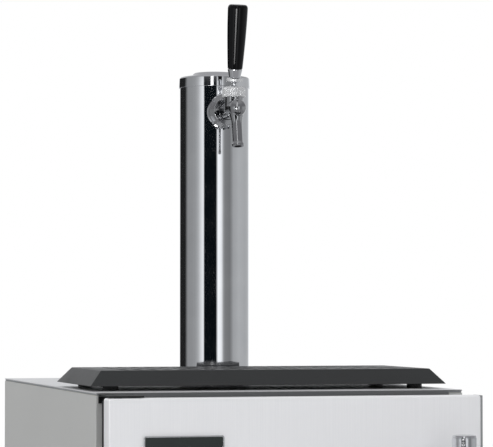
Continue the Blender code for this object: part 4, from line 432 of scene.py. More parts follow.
@dataclass(frozen=True)
class Brushed(Finish):
    """Metal whose surface is drawn over a belt: fine lines along one axis, and soft clouds."""

    grain: Grain = Grain.Z
    line: float = 0.7
    length: float = 160.0

    def dress(self, tree: Any, shader: Any, place: Any) -> None:
        """Adds stretched noise for the lines over slow clouds of gloss."""
        scale = [per(self.length) if along else per(self.line) for along in self.grain.value]
        stretched = add(tree, "Mapping", {"Vector": place, "Scale": scale}).outputs["Vector"]
        noise = {"Vector": stretched, "Scale": 1.0, "Detail": 4.0, "Roughness": 0.7}
        lines = add(tree, "TexNoise", noise).outputs["Fac"]
        cloud = {0: self.cloud(tree, place, 2.0).outputs["Fac"], 1: 0.35}
        soft = add(tree, "Math", cloud, operation="MULTIPLY").outputs[0]
        blend = add(tree, "Math", {0: lines, 1: 0.65, 2: soft}, operation="MULTIPLY_ADD")
        self.tint(tree, shader, blend.outputs[0])
        if self.relief:
            self.emboss(tree, shader, lines)


@dataclass(frozen=True)
class Spangled(Finish):
    """Hot-dipped zinc: flat crystals, each with its own grey and gloss."""

    def dress(self, tree: Any, shader: Any, place: Any) -> None:
        """Adds one tone for each crystal."""
        crystals = add(tree, "TexVoronoi", {"Vector": place, "Scale": per(self.pattern)})
        tone = add(tree, "SeparateColor", {"Color": crystals.outputs["Color"]})
        self.tint(tree, shader, tone.outputs["Red"])
        if self.relief:
            self.emboss(tree, shader, tone.outputs["Green"])


@dataclass(frozen=True)
class Pebbled(Finish):
    """Moulded plastic or rubber with the fine pebble texture of its tool."""

    def dress(self, tree: Any, shader: Any, place: Any) -> None:
        """Adds small rounded pits under slow clouds of colour."""
        self.tint(tree, shader, self.cloud(tree, place, 5.0).outputs["Fac"])
        cells = {"Vector": place, "Scale": per(self.relief_size)}
        pits = add(tree, "TexVoronoi", cells, feature="SMOOTH_F1")
        self.emboss(tree, shader, pits.outputs["Distance"])


@dataclass(frozen=True)
class Clear(Finish):
    """Glass or soft vinyl that light goes through."""

    through: float = 1.0

    def dress(self, tree: Any, shader: Any, place: Any) -> None:
        """Lets light through, under the same slow clouds of gloss."""
        shader.inputs["Transmission Weight"].default_value = self.through
        super().dress(tree, shader, place)


STEEL = "brushed_stainless"
PLATE = "polished_chrome"
MOULDING = "black_moulding"

# Belt-brushed stainless sheet: pale and satin, with fine upright lines
DOOR_STEEL = Brushed("Brushed stainless, upright", STEEL, "#f6f6f8", "#dcdde0", 0.36, 0.07, 0.3, 260.0, 0.012)
# The sides' sheet: greyer, because they stand turned away from the light
SIDE_STEEL = Brushed("Brushed stainless, side", STEEL, "#cbcccb", "#b5b6b5", 0.44, 0.06, 0.35, 320.0, 0.012)
# The top's sheet, whose lines run from side to side
TOP_STEEL = Brushed(
    "Brushed stainless, top", STEEL, "#dfe0e2", "#c6c7c9", 0.36, 0.06, 0.5, 260.0, 0.012, grain=Grain.X
)
# The top sheet's front return, which stands in shade over the door
RETURN_STEEL = Brushed(
    "Brushed stainless, front return", STEEL, "#8f9092", "#7d7e80", 0.4, 0.06, 0.7, 260.0, 0.012,
    grain=Grain.X,
)
# Chrome plate over brass or steel: a mirror with a few faint wiping marks
CHROME = Finish("Chrome plate", PLATE, "#eeeff1", "#e2e3e6", 0.05, 0.03, 1.0, 22.0)
# The faucet's castings: chrome over a buffed casting, greyer and softer than the column
CAST_CHROME = Finish("Chromed castings", PLATE, "#bfc0c2", "#a9aaac", 0.12, 0.04, 1.0, 9.0)
# Blasted chrome of the bonnet, bright and satin; on the lever's collar the same bright, pale finish is a
# painted highlight
SATIN_AND_HIGHLIGHT_CHROME = Finish("Knurled satin chrome, painted highlight on lever collar", PLATE, "#e9eaeb", "#d2d3d5", 0.4, 0.05, 0.65, 6.0, 0.01, 0.5)
# Zinc dipped sheet: dull, with crystals about 9 mm across
ZINC = Spangled("Galvanised sheet", "galvanised_steel", "#b9bfc2", "#a0a6a9", 0.5, 0.08, 0.6, 9.0, 0.01)
# Stoved black enamel: half gloss with the orange peel of a sprayed coat
ENAMEL = Finish("Black stoved enamel", "black_enamel", "#1b1c1e", "#121314", 0.3, 0.06, 0.0, 60.0, 0.02, 2.2)
# Fired enamel field of the badge: deep green-black and smooth
BADGE_ENAMEL = Finish("Badge enamel", "badge_enamel", "#1d2725", "#141b1a", 0.22, 0.05, 0.0, 14.0, 0.006, 1.6)
# ABS moulded against a pebbled tool: matt black with a soft sheen
TRAY_ABS = Pebbled("Pebbled black ABS", MOULDING, "#2a2c2d", "#202122", 0.4, 0.06, 0.0, 70.0, 0.05, 0.9)
# Nylon moulding: black, half matt and smoother than the tray
NYLON = Finish("Black nylon moulding", MOULDING, "#1e1f21", "#151617", 0.42, 0.08, 0.0, 18.0, 0.02, 0.8)
# Cast phenolic resin, polished: wet-looking black
RESIN = Finish(
    "Polished black resin", "black_resin", "#0b0b0d", "#070708", 0.09, 0.03, 0.0, 12.0, specular=0.22
)
# Vacuum-formed polystyrene liner: warm white with a faint orange peel
LINER = Finish("Formed white liner", "liner_plastic", "#dcdedd", "#cfd2d1", 0.36, 0.06, 0.0, 120.0, 0.03, 3.5)
# Grey ABS of frame and knob: even, with a soft sheen
GREY_ABS = Finish("Grey ABS moulding", "grey_plastic", "#8b8e90", "#7b7e80", 0.42, 0.06, 0.0, 30.0, 0.02, 0.8)
# Polyurethane foam, cut: straw yellow with open cells
FOAM = Pebbled("Cut polyurethane foam", "foam", "#ddca93", "#bfa873", 0.9, 0.05, 0.0, 16.0, 0.5, 1.6)
# Soft PVC gasket: dark and dull, with a faint bloom
GASKET = Finish("Black PVC gasket", "gasket_rubber", "#2a2b2c", "#1b1c1d", 0.62, 0.1, 0.0, 25.0, 0.02, 0.7)
# Aluminium, rolled or spun: pale and soft
ALUMINIUM = Brushed(
    "Spun aluminium", "aluminium", "#d6d8da", "#bdbfc2", 0.38, 0.08, 1.0, 90.0, 0.008,
    grain=Grain.X, length=40.0,
)
# Copper tube after years in air: brown clouds over the red
COPPER = Finish("Dulled copper tube", "copper", "#c1724a", "#8a4f33", 0.34, 0.1, 1.0, 14.0, 0.01, 0.8)
# Turned brass: warm, with a fine tool texture
BRASS = Finish("Machined brass", "brass", "#cba55c", "#a98443", 0.26, 0.08, 1.0, 10.0, 0.006, 0.6)
# Nickelled sheet of gauge cases and badge: satin and light
CASE = Finish("Satin gauge case", "gauge_case", "#cfd0d2", "#babbbd", 0.24, 0.06, 1.0, 16.0)
# Soft vinyl hose: milky and half clear
VINYL = Clear("Clear vinyl line", "line_vinyl", "#e8efee", "#d6dfde", 0.22, 0.06, 0.0, 25.0, through=0.55)
# Satin tube of the handle: polished along its length, softer than the chrome
SATIN = Brushed("Satin stainless tube", PLATE, "#e6e7ea", "#d2d3d6", 0.2, 0.05, 1.0, 60.0, 0.004, length=90.0)
# Acrylic: clear, with a slight haze
LENS = Clear("Acrylic gauge lens", "gauge_case", "#ffffff", "#f4f6f6", 0.05, 0.03, 0.0, 12.0, through=1.0)
# Matt white paint of the dials, and the black and red inks on them
DIAL_WHITE = Finish("White dial paint", "gauge_case", "#f1f1ec", "#e4e4de", 0.5, 0.05, 0.0, 9.0)
INK = Finish("Black printing ink", MOULDING, "#141414", "#0c0c0c", 0.55, 0.05, 0.0, 4.0)
RED_INK = Finish("Red printing ink", "grey_plastic", "#a8231d", "#8d1b16", 0.5, 0.05, 0.0, 4.0)


# ---------------------------------------------------------------- workshop


class Workshop:
    """Turns shapes into named pieces that ride on the frame's bodies."""

    def __init__(self, frame: dict[str, Any]) -> None:
        """Keeps the frame's nodes."""
        self.nodes: dict[str, bpy.types.Object] = frame["nodes"]

    def publish(
        self, name: str, shape: BMesh, finish: Finish, node: str = "", body: str = "", crease: float = 35.0
    ) -> bpy.types.Object:
        """Makes a finished piece of a shape.

        Args:
            name: the piece's name.
            shape: its closed shape, which is freed.
            finish: its surface.
            node: the node that it stands for, if any.
            body: the body that it rides on, where that isn't the node's or else the cabinet.
            crease: the angle above which an edge stays sharp, in degrees.

        Returns:
            The piece.
        """
        mesh = meshed(name, shape)
        mesh.shade_smooth()
        mesh.set_sharp_from_angle(angle=radians(crease))
        mesh.materials.clear()
        mesh.materials.append(finish.material())
        made = placed(name, mesh)
        made.modifiers.new("even_normals", "WEIGHTED_NORMAL").keep_sharp = True
        body = body or (self.body(node) if node else "cabinet")
        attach(made, body)
        if node:
            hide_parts(node)
        LOG.info("%s: %d faces on %s", name, len(mesh.polygons), body)
        return made

    def copy(self, node: str) -> BMesh:
        """A node's shape, with its triangles merged into whole faces."""
        shape = bmesh.new()
        shape.from_mesh(self.nodes[node].data)
        bmesh.ops.remove_doubles(shape, verts=shape.verts, dist=MERGE)
        bmesh.ops.dissolve_limit(shape, angle_limit=radians(0.5), verts=shape.verts, edges=shape.edges)
        return shape

    def eased(self, node: str, finish: Finish, width: float = 0.4, segments: int = 2) -> bpy.types.Object:
        """Replaces a node by its own shape with rounded edges.

        Args:
            node: the node.
            finish: its surface.
            width: how far from each edge the rounding starts.
            segments: faces across each rounding.

        Returns:
            The piece.
        """
        shape = ease(self.copy(node), width, segments)
        return self.publish(f"{node}_shell", shape, finish, node)

    def coat(self, finish: Finish, *nodes: str) -> None:
        """Gives nodes that stay as they are a finish."""
        for node in nodes:
            for place in self.nodes[node].material_slots:
                place.material = finish.material()
            LOG.info("%s: coated with %s", node, finish.name)

    def body(self, node: str) -> str:
        """The body that a node rides on."""
        return self.nodes[node]["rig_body"]

    def screws(self, name: str, places: Sequence[Vector], direction: Vector, radius: float) -> None:
        """Makes the cabinet's pan-head screws, with a cross recess.

        Args:
            name: the set's name.
            places: where each head sits.
            direction: the way that the heads face.
            radius: the heads' radius.
        """
        height = radius * 0.55
        profile = [(0, -height / 2), (radius, -height / 2), (radius, height * 0.35), (radius * 0.6, height)]
        head = lathe([*profile, (0, height)], (0, 0, 0), Z, 24, radius * 0.12)
        arm, slot = radius * 0.55, radius * 0.1
        for half_x, half_y in ((arm, slot), (slot, arm)):
            cutter = box((-half_x, -half_y, height * 0.3), (half_x, half_y, height * 2))
            head = combined(head, cutter, Operation.CUT)
        upright = Z if abs(direction.z) < 0.5 else Y
        heads = [moved(head.copy(), facing(place, direction, upright)) for place in places]
        head.free()
        self.publish(name, gathered(heads), ALUMINIUM)


# ---------------------------------------------------------------- sub-assemblies


@dataclass
class Cabinet:
    """The stainless skin, the insulated body, the base and its feet."""

    side: float = 189
    front: float = -203.5
    back: float = 326.5
    liner_round: float = 5
    seam_near: float = 0.7
    seam_far: float = 1.6
    foot_radius: float = 18
    stem_radius: float = 4
    stem_pitch: float = 1.25
    stem_start: float = 12
    stem_turns: int = 24
    nut_foot: float = 23.7
    nut_radius: float = 8
    nut_height: float = 6
    screw_radius: float = 3.4
    dimple_radius: float = 3.6

    def build(self, shop: Workshop) -> None:
        """Builds and dresses every piece of the cabinet."""
        shop.eased("left_side_panel", SIDE_STEEL, 0.3)
        shop.eased("right_side_panel", SIDE_STEEL, 0.3)
        self.build_top(shop)
        shop.eased("toe_kick_grille", SIDE_STEEL, 0.25)
        shop.eased("base_pan", ZINC, 0.3)
        shop.eased("keg_floor_plate", TRAY_ABS, 0.6)
        shop.coat(GREY_ABS, "front_frame")
        shop.coat(FOAM, "cabinet_insulation", "tower_insulation", "door_insulation")
        self.build_liner(shop)
        self.build_seam(shop)
        self.build_feet(shop)
        self.build_back(shop)

    def build_top(self, shop: Workshop) -> None:
        """The top sheet, darker on its front return."""
        top = shop.eased("top_panel", TOP_STEEL, 0.4, 3)
        top.data.materials.append(RETURN_STEEL.material())
        for face in top.data.polygons:
            if face.normal.y < -0.9:
                face.material_index = 1

    def build_liner(self, shop: Workshop) -> None:
        """The formed liner, whose long corners behind the opening are drawn with a radius."""
        shape = shop.copy("inner_liner")
        bmesh.ops.triangulate(shape, faces=[face for face in shape.faces if len(face.verts) > 4])
        behind, long = (self.front + 20) * MM, 50 * MM
        sharp = [edge for edge in shape.edges if edge.is_manifold and edge.calc_face_angle(0) > radians(60)]
        sharp = [edge for edge in sharp if edge.calc_length() > long]
        deep = [edge for edge in sharp if max(vert.co.y for vert in edge.verts) > behind]
        shop.publish("liner_shell", bevelled(shape, deep, self.liner_round, 4), LINER, "inner_liner")

    def build_seam(self, shop: Workshop) -> None:
        """The grey sealing strip all round in the seam under the top panel."""
        low, high = extent("left_side_panel")[1].z + 0.15, extent("top_panel")[1].z - 1.35
        near, far = self.seam_near, self.seam_far
        front, back = self.front + near, self.back - near
        outer, inner = self.side - near, self.side - far
        strips = [box((way * outer, front, low), (way * inner, back, high)) for way in (-1, 1)]
        for y in (front, self.back - far):
            strips.append(box((-inner, y, low), (inner, y + far - near, high)))
        shop.publish("top_seam", gathered(strips), GREY_ABS)

    def build_feet(self, shop: Workshop) -> None:
        """Four levelling feet with threaded stems and lock nuts."""
        pad, stem, nut = self.foot_radius, self.stem_radius, self.nut_radius
        root = stem - 0.6
        foot = [(0, 0), (pad - 1, 0), (pad, 1.5), (pad, 6.5), (pad - 3.5, 9.6), (stem + 3, 10), (root, 10)]
        for turn in range(self.stem_turns):
            height = self.stem_start + turn * self.stem_pitch
            foot += [(root, height), (stem, height + self.stem_pitch / 2)]
        hexagon = [(stem, 0), (nut, 0), (nut, self.nut_height), (stem, self.nut_height)]
        for corner in ("front_left", "front_right", "rear_left", "rear_right"):
            node = f"levelling_foot_{corner}"
            low, high = extent(node)
            middle = Vector(((low.x + high.x) / 2, (low.y + high.y) / 2, 0))
            shape = lathe([*foot, (root, high.z), (0, high.z)], middle, Z, 48, 0)
            shop.publish(f"{node}_pad", shape, NYLON, node, crease=50)
            shape = lathe(hexagon, middle + Z * self.nut_foot, Z, 6, 0.5, ring=True)
            shop.publish(f"{node}_nut", shape, ZINC, body=shop.body(node))

    def build_back(self, shop: Workshop) -> None:
        """The back panel with a screw in each of its dimples, and the toe-kick grille's screws."""
        radius, x = self.screw_radius, self.side - 9
        places = [Vector((way * x, self.back, z)) for z in (60, 230, 420, 610, 800) for way in (-1, 1)]
        places += [Vector((x, self.back, 848)) for x in (-110, 0, 110)]
        drills = [rod(self.dimple_radius, place - Y * 5, Y, 10) for place in places]
        shape = combined(shop.copy("back_panel"), gathered(drills), Operation.CUT)
        shop.publish("back_sheet", ease(shape, 0.15, 1), ZINC, "back_panel")
        shop.screws("back_screws", [place - Y * (radius * 0.55 + 0.1) for place in places], Y, radius)
        low, high = extent("toe_kick_grille")
        kick = [Vector((x, low.y + 0.2, (low.z + high.z) / 2)) for x in (-172, 0, 172)]
        shop.screws("kick_screws", kick, -Y, 2.6)


@dataclass
class Cooling:
    """Evaporator, fan, thermostat, compressor, condenser and mains inlet."""

    blades: int = 7
    blade_radius: float = 40
    blade_sheet: float = 1.1
    hub_radius: float = 13
    hub_depth: float = 12
    numerals: int = 5
    numeral_reach: float = 21
    compressor_radius: float = 64
    compressor_height: float = 142
    seam: float = 3
    coil_front: float = -143.5
    coil_radius: float = 3
    coil_bend: float = 14
    coil_passes: int = 6
    bend_steps: int = 12
    bar_x: float = 92

    def build(self, shop: Workshop) -> None:
        """Builds and dresses every piece of the cold system."""
        shop.eased("evaporator_plate", ALUMINIUM, 0.9, 3)
        shop.eased("fan_housing", LINER, 0.6, 3)
        self.build_fan(shop)
        self.build_thermostat(shop)
        self.build_compressor(shop)
        self.build_condenser(shop)
        self.build_inlet(shop)

    def build_fan(self, shop: Workshop) -> None:
        """The fan: a domed hub with curved, twisted blades."""
        low, high = extent("evaporator_fan")
        centre, half, hub = (low + high) / 2, self.hub_depth / 2, self.hub_radius
        profile = [(0, -half), (hub, -half), (hub, half - 2), (8, half), (0, half)]
        shapes = [lathe(profile, centre, -Y, SMALL_SIDES, 0.8)]
        for number in range(self.blades):
            blade = bmesh.new()
            bmesh.ops.create_grid(blade, x_segments=8, y_segments=6, size=0.5)
            for vertex in blade.verts:
                out, across = vertex.co.x + 0.5, vertex.co.y
                radius = hub - 1 + out * (self.blade_radius - hub)
                chord, pitch, sweep = 15 + 7 * out, radians(38 - 14 * out), radians(-14 * out)
                camber = (1 - 4 * across * across) * 1.6
                depth = across * chord * sin(pitch) * 0.8 + camber
                turn = across * chord * cos(pitch) / radius + sweep
                vertex.co = (spoke(turn) * radius - Y * depth) * MM
            bmesh.ops.recalc_face_normals(blade, faces=blade.faces)
            bmesh.ops.solidify(blade, geom=blade.faces[:], thickness=self.blade_sheet * MM)
            shapes.append(moved(blade, turned(centre, 2 * pi * number / self.blades, "Y")))
        shop.publish("fan_rotor", gathered(shapes), NYLON, "evaporator_fan")

    def build_thermostat(self, shop: Workshop) -> None:
        """The knob with its pointer line, and the numerals round it."""
        shop.eased("thermostat_knob", GREY_ABS, 0.7, 3)
        centre = front_middle("thermostat_knob")
        line = box(centre + Vector((-0.5, -0.15, 2)), centre + Vector((0.5, 0.4, 11)))
        shop.publish("knob_pointer", line, INK, body="thermostat_knob")
        centre.y = extent("fan_housing")[0].y - 0.05
        marks = []
        for number in range(self.numerals):
            at = centre + spoke(radians(90 - number * 300 / (self.numerals - 1))) * self.numeral_reach
            marks.append(moved(lettered(str(number + 1), 5.5, 0.1), facing(at, -Y)))
        shop.publish("thermostat_scale", gathered(marks), INK)

    def build_compressor(self, shop: Workshop) -> None:
        """The welded shell with its seam, terminal cover and copper stubs, on rubber bushes."""
        low, high = extent("compressor")
        radius, height, seam = self.compressor_radius, self.compressor_height, self.seam
        middle = Vector((low.x + radius, low.y + radius, low.z))
        joint, wall = height * 0.55, radius - seam
        profile = [
            (0, 0), (radius * 0.62, 0), (radius * 0.8, height * 0.04), (radius * 0.9, height * 0.1),
            (wall, height * 0.3), (wall, joint - seam), (radius, joint - seam), (radius, joint),
            (radius - 1, joint + seam), (wall, joint + seam), (wall, height * 0.78),
            (radius * 0.9, height * 0.86), (radius * 0.76, height * 0.94), (radius * 0.5, height * 0.99),
            (0, height),
        ]
        shell = lathe(profile, middle, Z, ROUND_SIDES, 0.8)
        shop.publish("compressor_shell", shell, ENAMEL, "compressor", crease=50)
        x, y, z = middle.x + radius * 0.8, middle.y, low.z + height * 0.3
        cover = box((x, y - 23, z - 20), (high.x, y + 23, z + 20), 3)
        shop.publish("terminal_cover", cover, NYLON)
        stubs = []
        for number, angle in enumerate((200, 235, 310)):
            out = spoke(radians(angle), Y)
            start = middle + out * (radius - 6) + Z * (height * 0.42)
            points = [start + out * (10 * t) + Z * (26 * t * t) for t in (0, 0.25, 0.5, 0.75, 1)]
            stubs.append(swept([*points, points[-1] + Z * (12 + number * 5)], 3))
        shop.publish("compressor_stubs", gathered(stubs), COPPER)
        shop.eased("compressor_mount", ENAMEL, 0.8, 3)

    def build_condenser(self, shop: Workshop) -> None:
        """The serpentine coil, clipped to its two bars."""
        low, high = extent("condenser_coil")
        radius, bend, x = self.coil_radius, self.coil_bend, self.bar_x
        reach, z = high.x - radius - bend, high.z - radius
        rows = [self.coil_front + row * bend * 2 for row in range(self.coil_passes)]
        points = []
        for row, y in enumerate(rows):
            side = 1 if row % 2 else -1
            points.append((side * reach, y, z))
            if y == rows[-1]:
                points.append((-side * reach, y, z))
                break
            for step in range(self.bend_steps):
                angle = pi * step / self.bend_steps
                points.append((-side * (reach + bend * sin(angle)), y + bend * (1 - cos(angle)), z))
        shop.publish("coil_tube", swept(points, radius, 4), COPPER, "condenser_coil", crease=60)
        clip = [(radius, -2.2), (radius + 0.8, -2.2), (radius + 0.8, 2.2), (radius, 2.2)]
        held = [
            box((way * x - 3, low.y, low.z), (way * x + 3, high.y, z - radius), 0.6) for way in (-1, 1)
        ]
        held += [
            lathe(clip, (way * x, y, z), X, SMALL_SIDES, 0, ring=True) for way in (-1, 1) for y in rows
        ]
        shop.publish("coil_supports", gathered(held), ZINC)

    def build_inlet(self, shop: Workshop) -> None:
        """The inlet with the three blades that a detachable lead pushes on to."""
        shop.eased("mains_inlet", NYLON, 0.5)
        base = front_middle("mains_inlet")
        pins = [
            box(base + Vector((x - 1, 2, z - 2)), base + Vector((x + 1, 17, z + 2)), 0.4)
            for x, z in ((-7, -1), (0, 2), (7, -1))
        ]
        shop.publish("inlet_blades", gathered(pins), CASE)


@dataclass
class GasSupply:
    """Gas cylinder, valve, handwheel, regulator and gauges."""

    neck_radius: float = 17
    shoulder: float = 46
    neck_height: float = 14
    base_radius: float = 40
    knob_depth: float = 20
    knob_ribs: int = 16
    gauge_radius: float = 21
    gauge_depth: float = 20
    gauge_recess: float = 2
    gauge_rim: float = 2
    sweep: float = 270.0

    def build(self, shop: Workshop) -> None:
        """Builds and dresses every piece of the gas supply."""
        self.build_cylinder(shop)
        shop.eased("cylinder_valve", BRASS, 0.6, 3)
        shop.eased("valve_handwheel", NYLON, 1.0, 3)
        shop.eased("gas_regulator", BRASS, 0.8, 3)
        self.build_knob(shop)
        self.build_gauge(shop, "tank_gauge", 6, 0.72, INK)
        self.build_gauge(shop, "line_gauge", 4, 0.2, RED_INK)

    def build_cylinder(self, shop: Workshop) -> None:
        """The spun cylinder with its domed shoulder and neck ring."""
        low, high = extent("gas_cylinder")
        radius, height = (high.x - low.x) / 2, high.z - low.z
        foot, neck, top = self.base_radius, self.neck_radius, height - self.neck_height
        profile = [(0, 2), (foot - 6, 2), (foot, 0)]
        for step in range(1, 7):
            angle = radians(step * 15)
            profile.append((foot + (radius - foot) * sin(angle), (radius - foot) * (1 - cos(angle))))
        for step in range(13):
            angle = radians(step * 7.5)
            rise = self.shoulder * (sin(angle) - 1)
            profile.append((neck + (radius - neck) * cos(angle), top + rise))
        profile += [(neck, top + 3), (neck - 1, top + 4), (neck - 1, height), (0, height)]
        shape = lathe(profile, (low.x + radius, low.y + radius, low.z), Z, 96, 0.5)
        shop.publish("cylinder_shell", shape, ALUMINIUM, "gas_cylinder")

    def build_knob(self, shop: Workshop) -> None:
        """The regulator's knob, ribbed round its side."""
        low, high = extent("regulator_knob")
        radius, length, depth = (high.x - low.x) / 2, high.y - low.y, self.knob_depth
        centre = Vector((low.x + radius, low.y, low.z + radius))
        profile = [(0, 0), (radius * 0.9, 0), (radius, depth), (4, depth), (4, length), (0, length)]
        ribs = []
        for number in range(self.knob_ribs):
            at = centre + spoke(2 * pi * number / self.knob_ribs) * (radius + 0.5) + Y * 3
            ribs.append(rod(1.1, at, Y, depth, 8))
        shape = combined(lathe(profile, centre, Y, 48, 0.9), gathered(ribs), Operation.CUT)
        shop.publish("regulator_knob_grip", shape, NYLON, "regulator_knob")

    def build_gauge(self, shop: Workshop, node: str, steps: int, reading: float, ink: Finish) -> None:
        """One gauge: case, dial with its scale, needle and lens.

        Args:
            shop: the workshop.
            node: the gauge's node.
            steps: how many numbered steps its scale has.
            reading: where the needle stands, as a share of the scale.
            ink: the needle's paint.
        """
        centre = front_middle(node)
        radius, inside = self.gauge_radius, self.gauge_radius - self.gauge_rim
        depth, recess = self.gauge_depth, self.gauge_recess
        profile = [
            (0, recess), (inside, recess), (inside, 0.4), (inside + 0.5, 0), (radius, 0), (radius, 4),
            (radius - 0.8, 4.6), (radius - 0.8, depth - 1.5), (radius - 2.5, depth), (0, depth),
        ]
        shop.publish(f"{node}_case", lathe(profile, centre, Y, ROUND_SIDES, 0.25), CASE, node)
        face = centre + Y * (recess - 0.15)
        dial = rod(inside - 0.1, face, Y, 0.1, ROUND_SIDES)
        shop.publish(f"{node}_dial", dial, DIAL_WHITE)
        marks = []
        for mark in range(steps * 5 + 1):
            angle = radians(90 + self.sweep / 2 - self.sweep * mark / (steps * 5))
            major = mark % 5 == 0
            length, half = (3.2, 0.28) if major else (1.8, 0.14)
            tick = box((-half, inside * 0.93 - length, 0), (half, inside * 0.93, 0.1))
            marks.append(moved(tick, facing(face, -Y) @ turned((0, 0, 0), angle - pi / 2, "Z")))
            if major:
                at = face + spoke(angle) * inside * 0.6 - Y * 0.05
                marks.append(moved(lettered(str(mark // 5 * 10), 3.6, 0.05), facing(at, -Y)))
        shop.publish(f"{node}_scale", gathered(marks), INK)
        swing = turned((0, 0, 0), radians(self.sweep / 2 - self.sweep * reading), "Z")
        needle = moved(box((-0.35, -4, 0.3), (0.35, inside * 0.72, 0.5)), swing)
        pointer = moved(gathered([needle, rod(1.8, (0, 0, 0), Z, 0.8)]), facing(face, -Y))
        shop.publish(f"{node}_needle", pointer, ink)
        lens = rod(inside - 0.1, centre + Y * 0.3, Y, 0.5, ROUND_SIDES)
        shop.publish(f"{node}_lens", lens, LENS)


@dataclass
class KegCoupler:
    """The coupler that locks on the keg: body, probe and lever."""

    place: tuple[float, float, float] = (88, 206.5, 270.3)
    base_radius: float = 29
    base_height: float = 12
    socket_radius: float = 21
    socket_depth: float = 9
    waist_radius: float = 18
    height: float = 66
    bore: float = 8.3
    port_rise: float = 26
    port_start: float = 13.15
    port_length: float = 22.85

    def build(self, shop: Workshop) -> None:
        """Builds and dresses the coupler."""
        foot, waist, top = Vector(self.place), self.waist_radius, self.height
        profile = [
            (self.socket_radius, 0), (self.base_radius, 0), (self.base_radius, self.base_height),
            (waist, self.base_height * 1.6), (waist, top - 8), (waist, top), (self.bore, top),
            (self.bore, self.socket_depth), (self.socket_radius, self.socket_depth),
        ]
        body = lathe(profile, foot, Z, ROUND_SIDES, 0.8, ring=True)
        end = self.port_length
        barb = [(0, 0), (6, 0), (6, 12), (5, 13), (6, 17), (4.6, end), (0, end)]
        port = lathe(barb, foot + Z * self.port_rise + X * self.port_start, X, SMALL_SIDES)
        shape = combined(body, port, Operation.UNION)
        shop.publish("coupler_casting", shape, CHROME, "coupler_body")
        shop.eased("coupler_probe", CHROME, 0.6, 3)
        shop.eased("coupler_lever", NYLON, 1.2, 3)


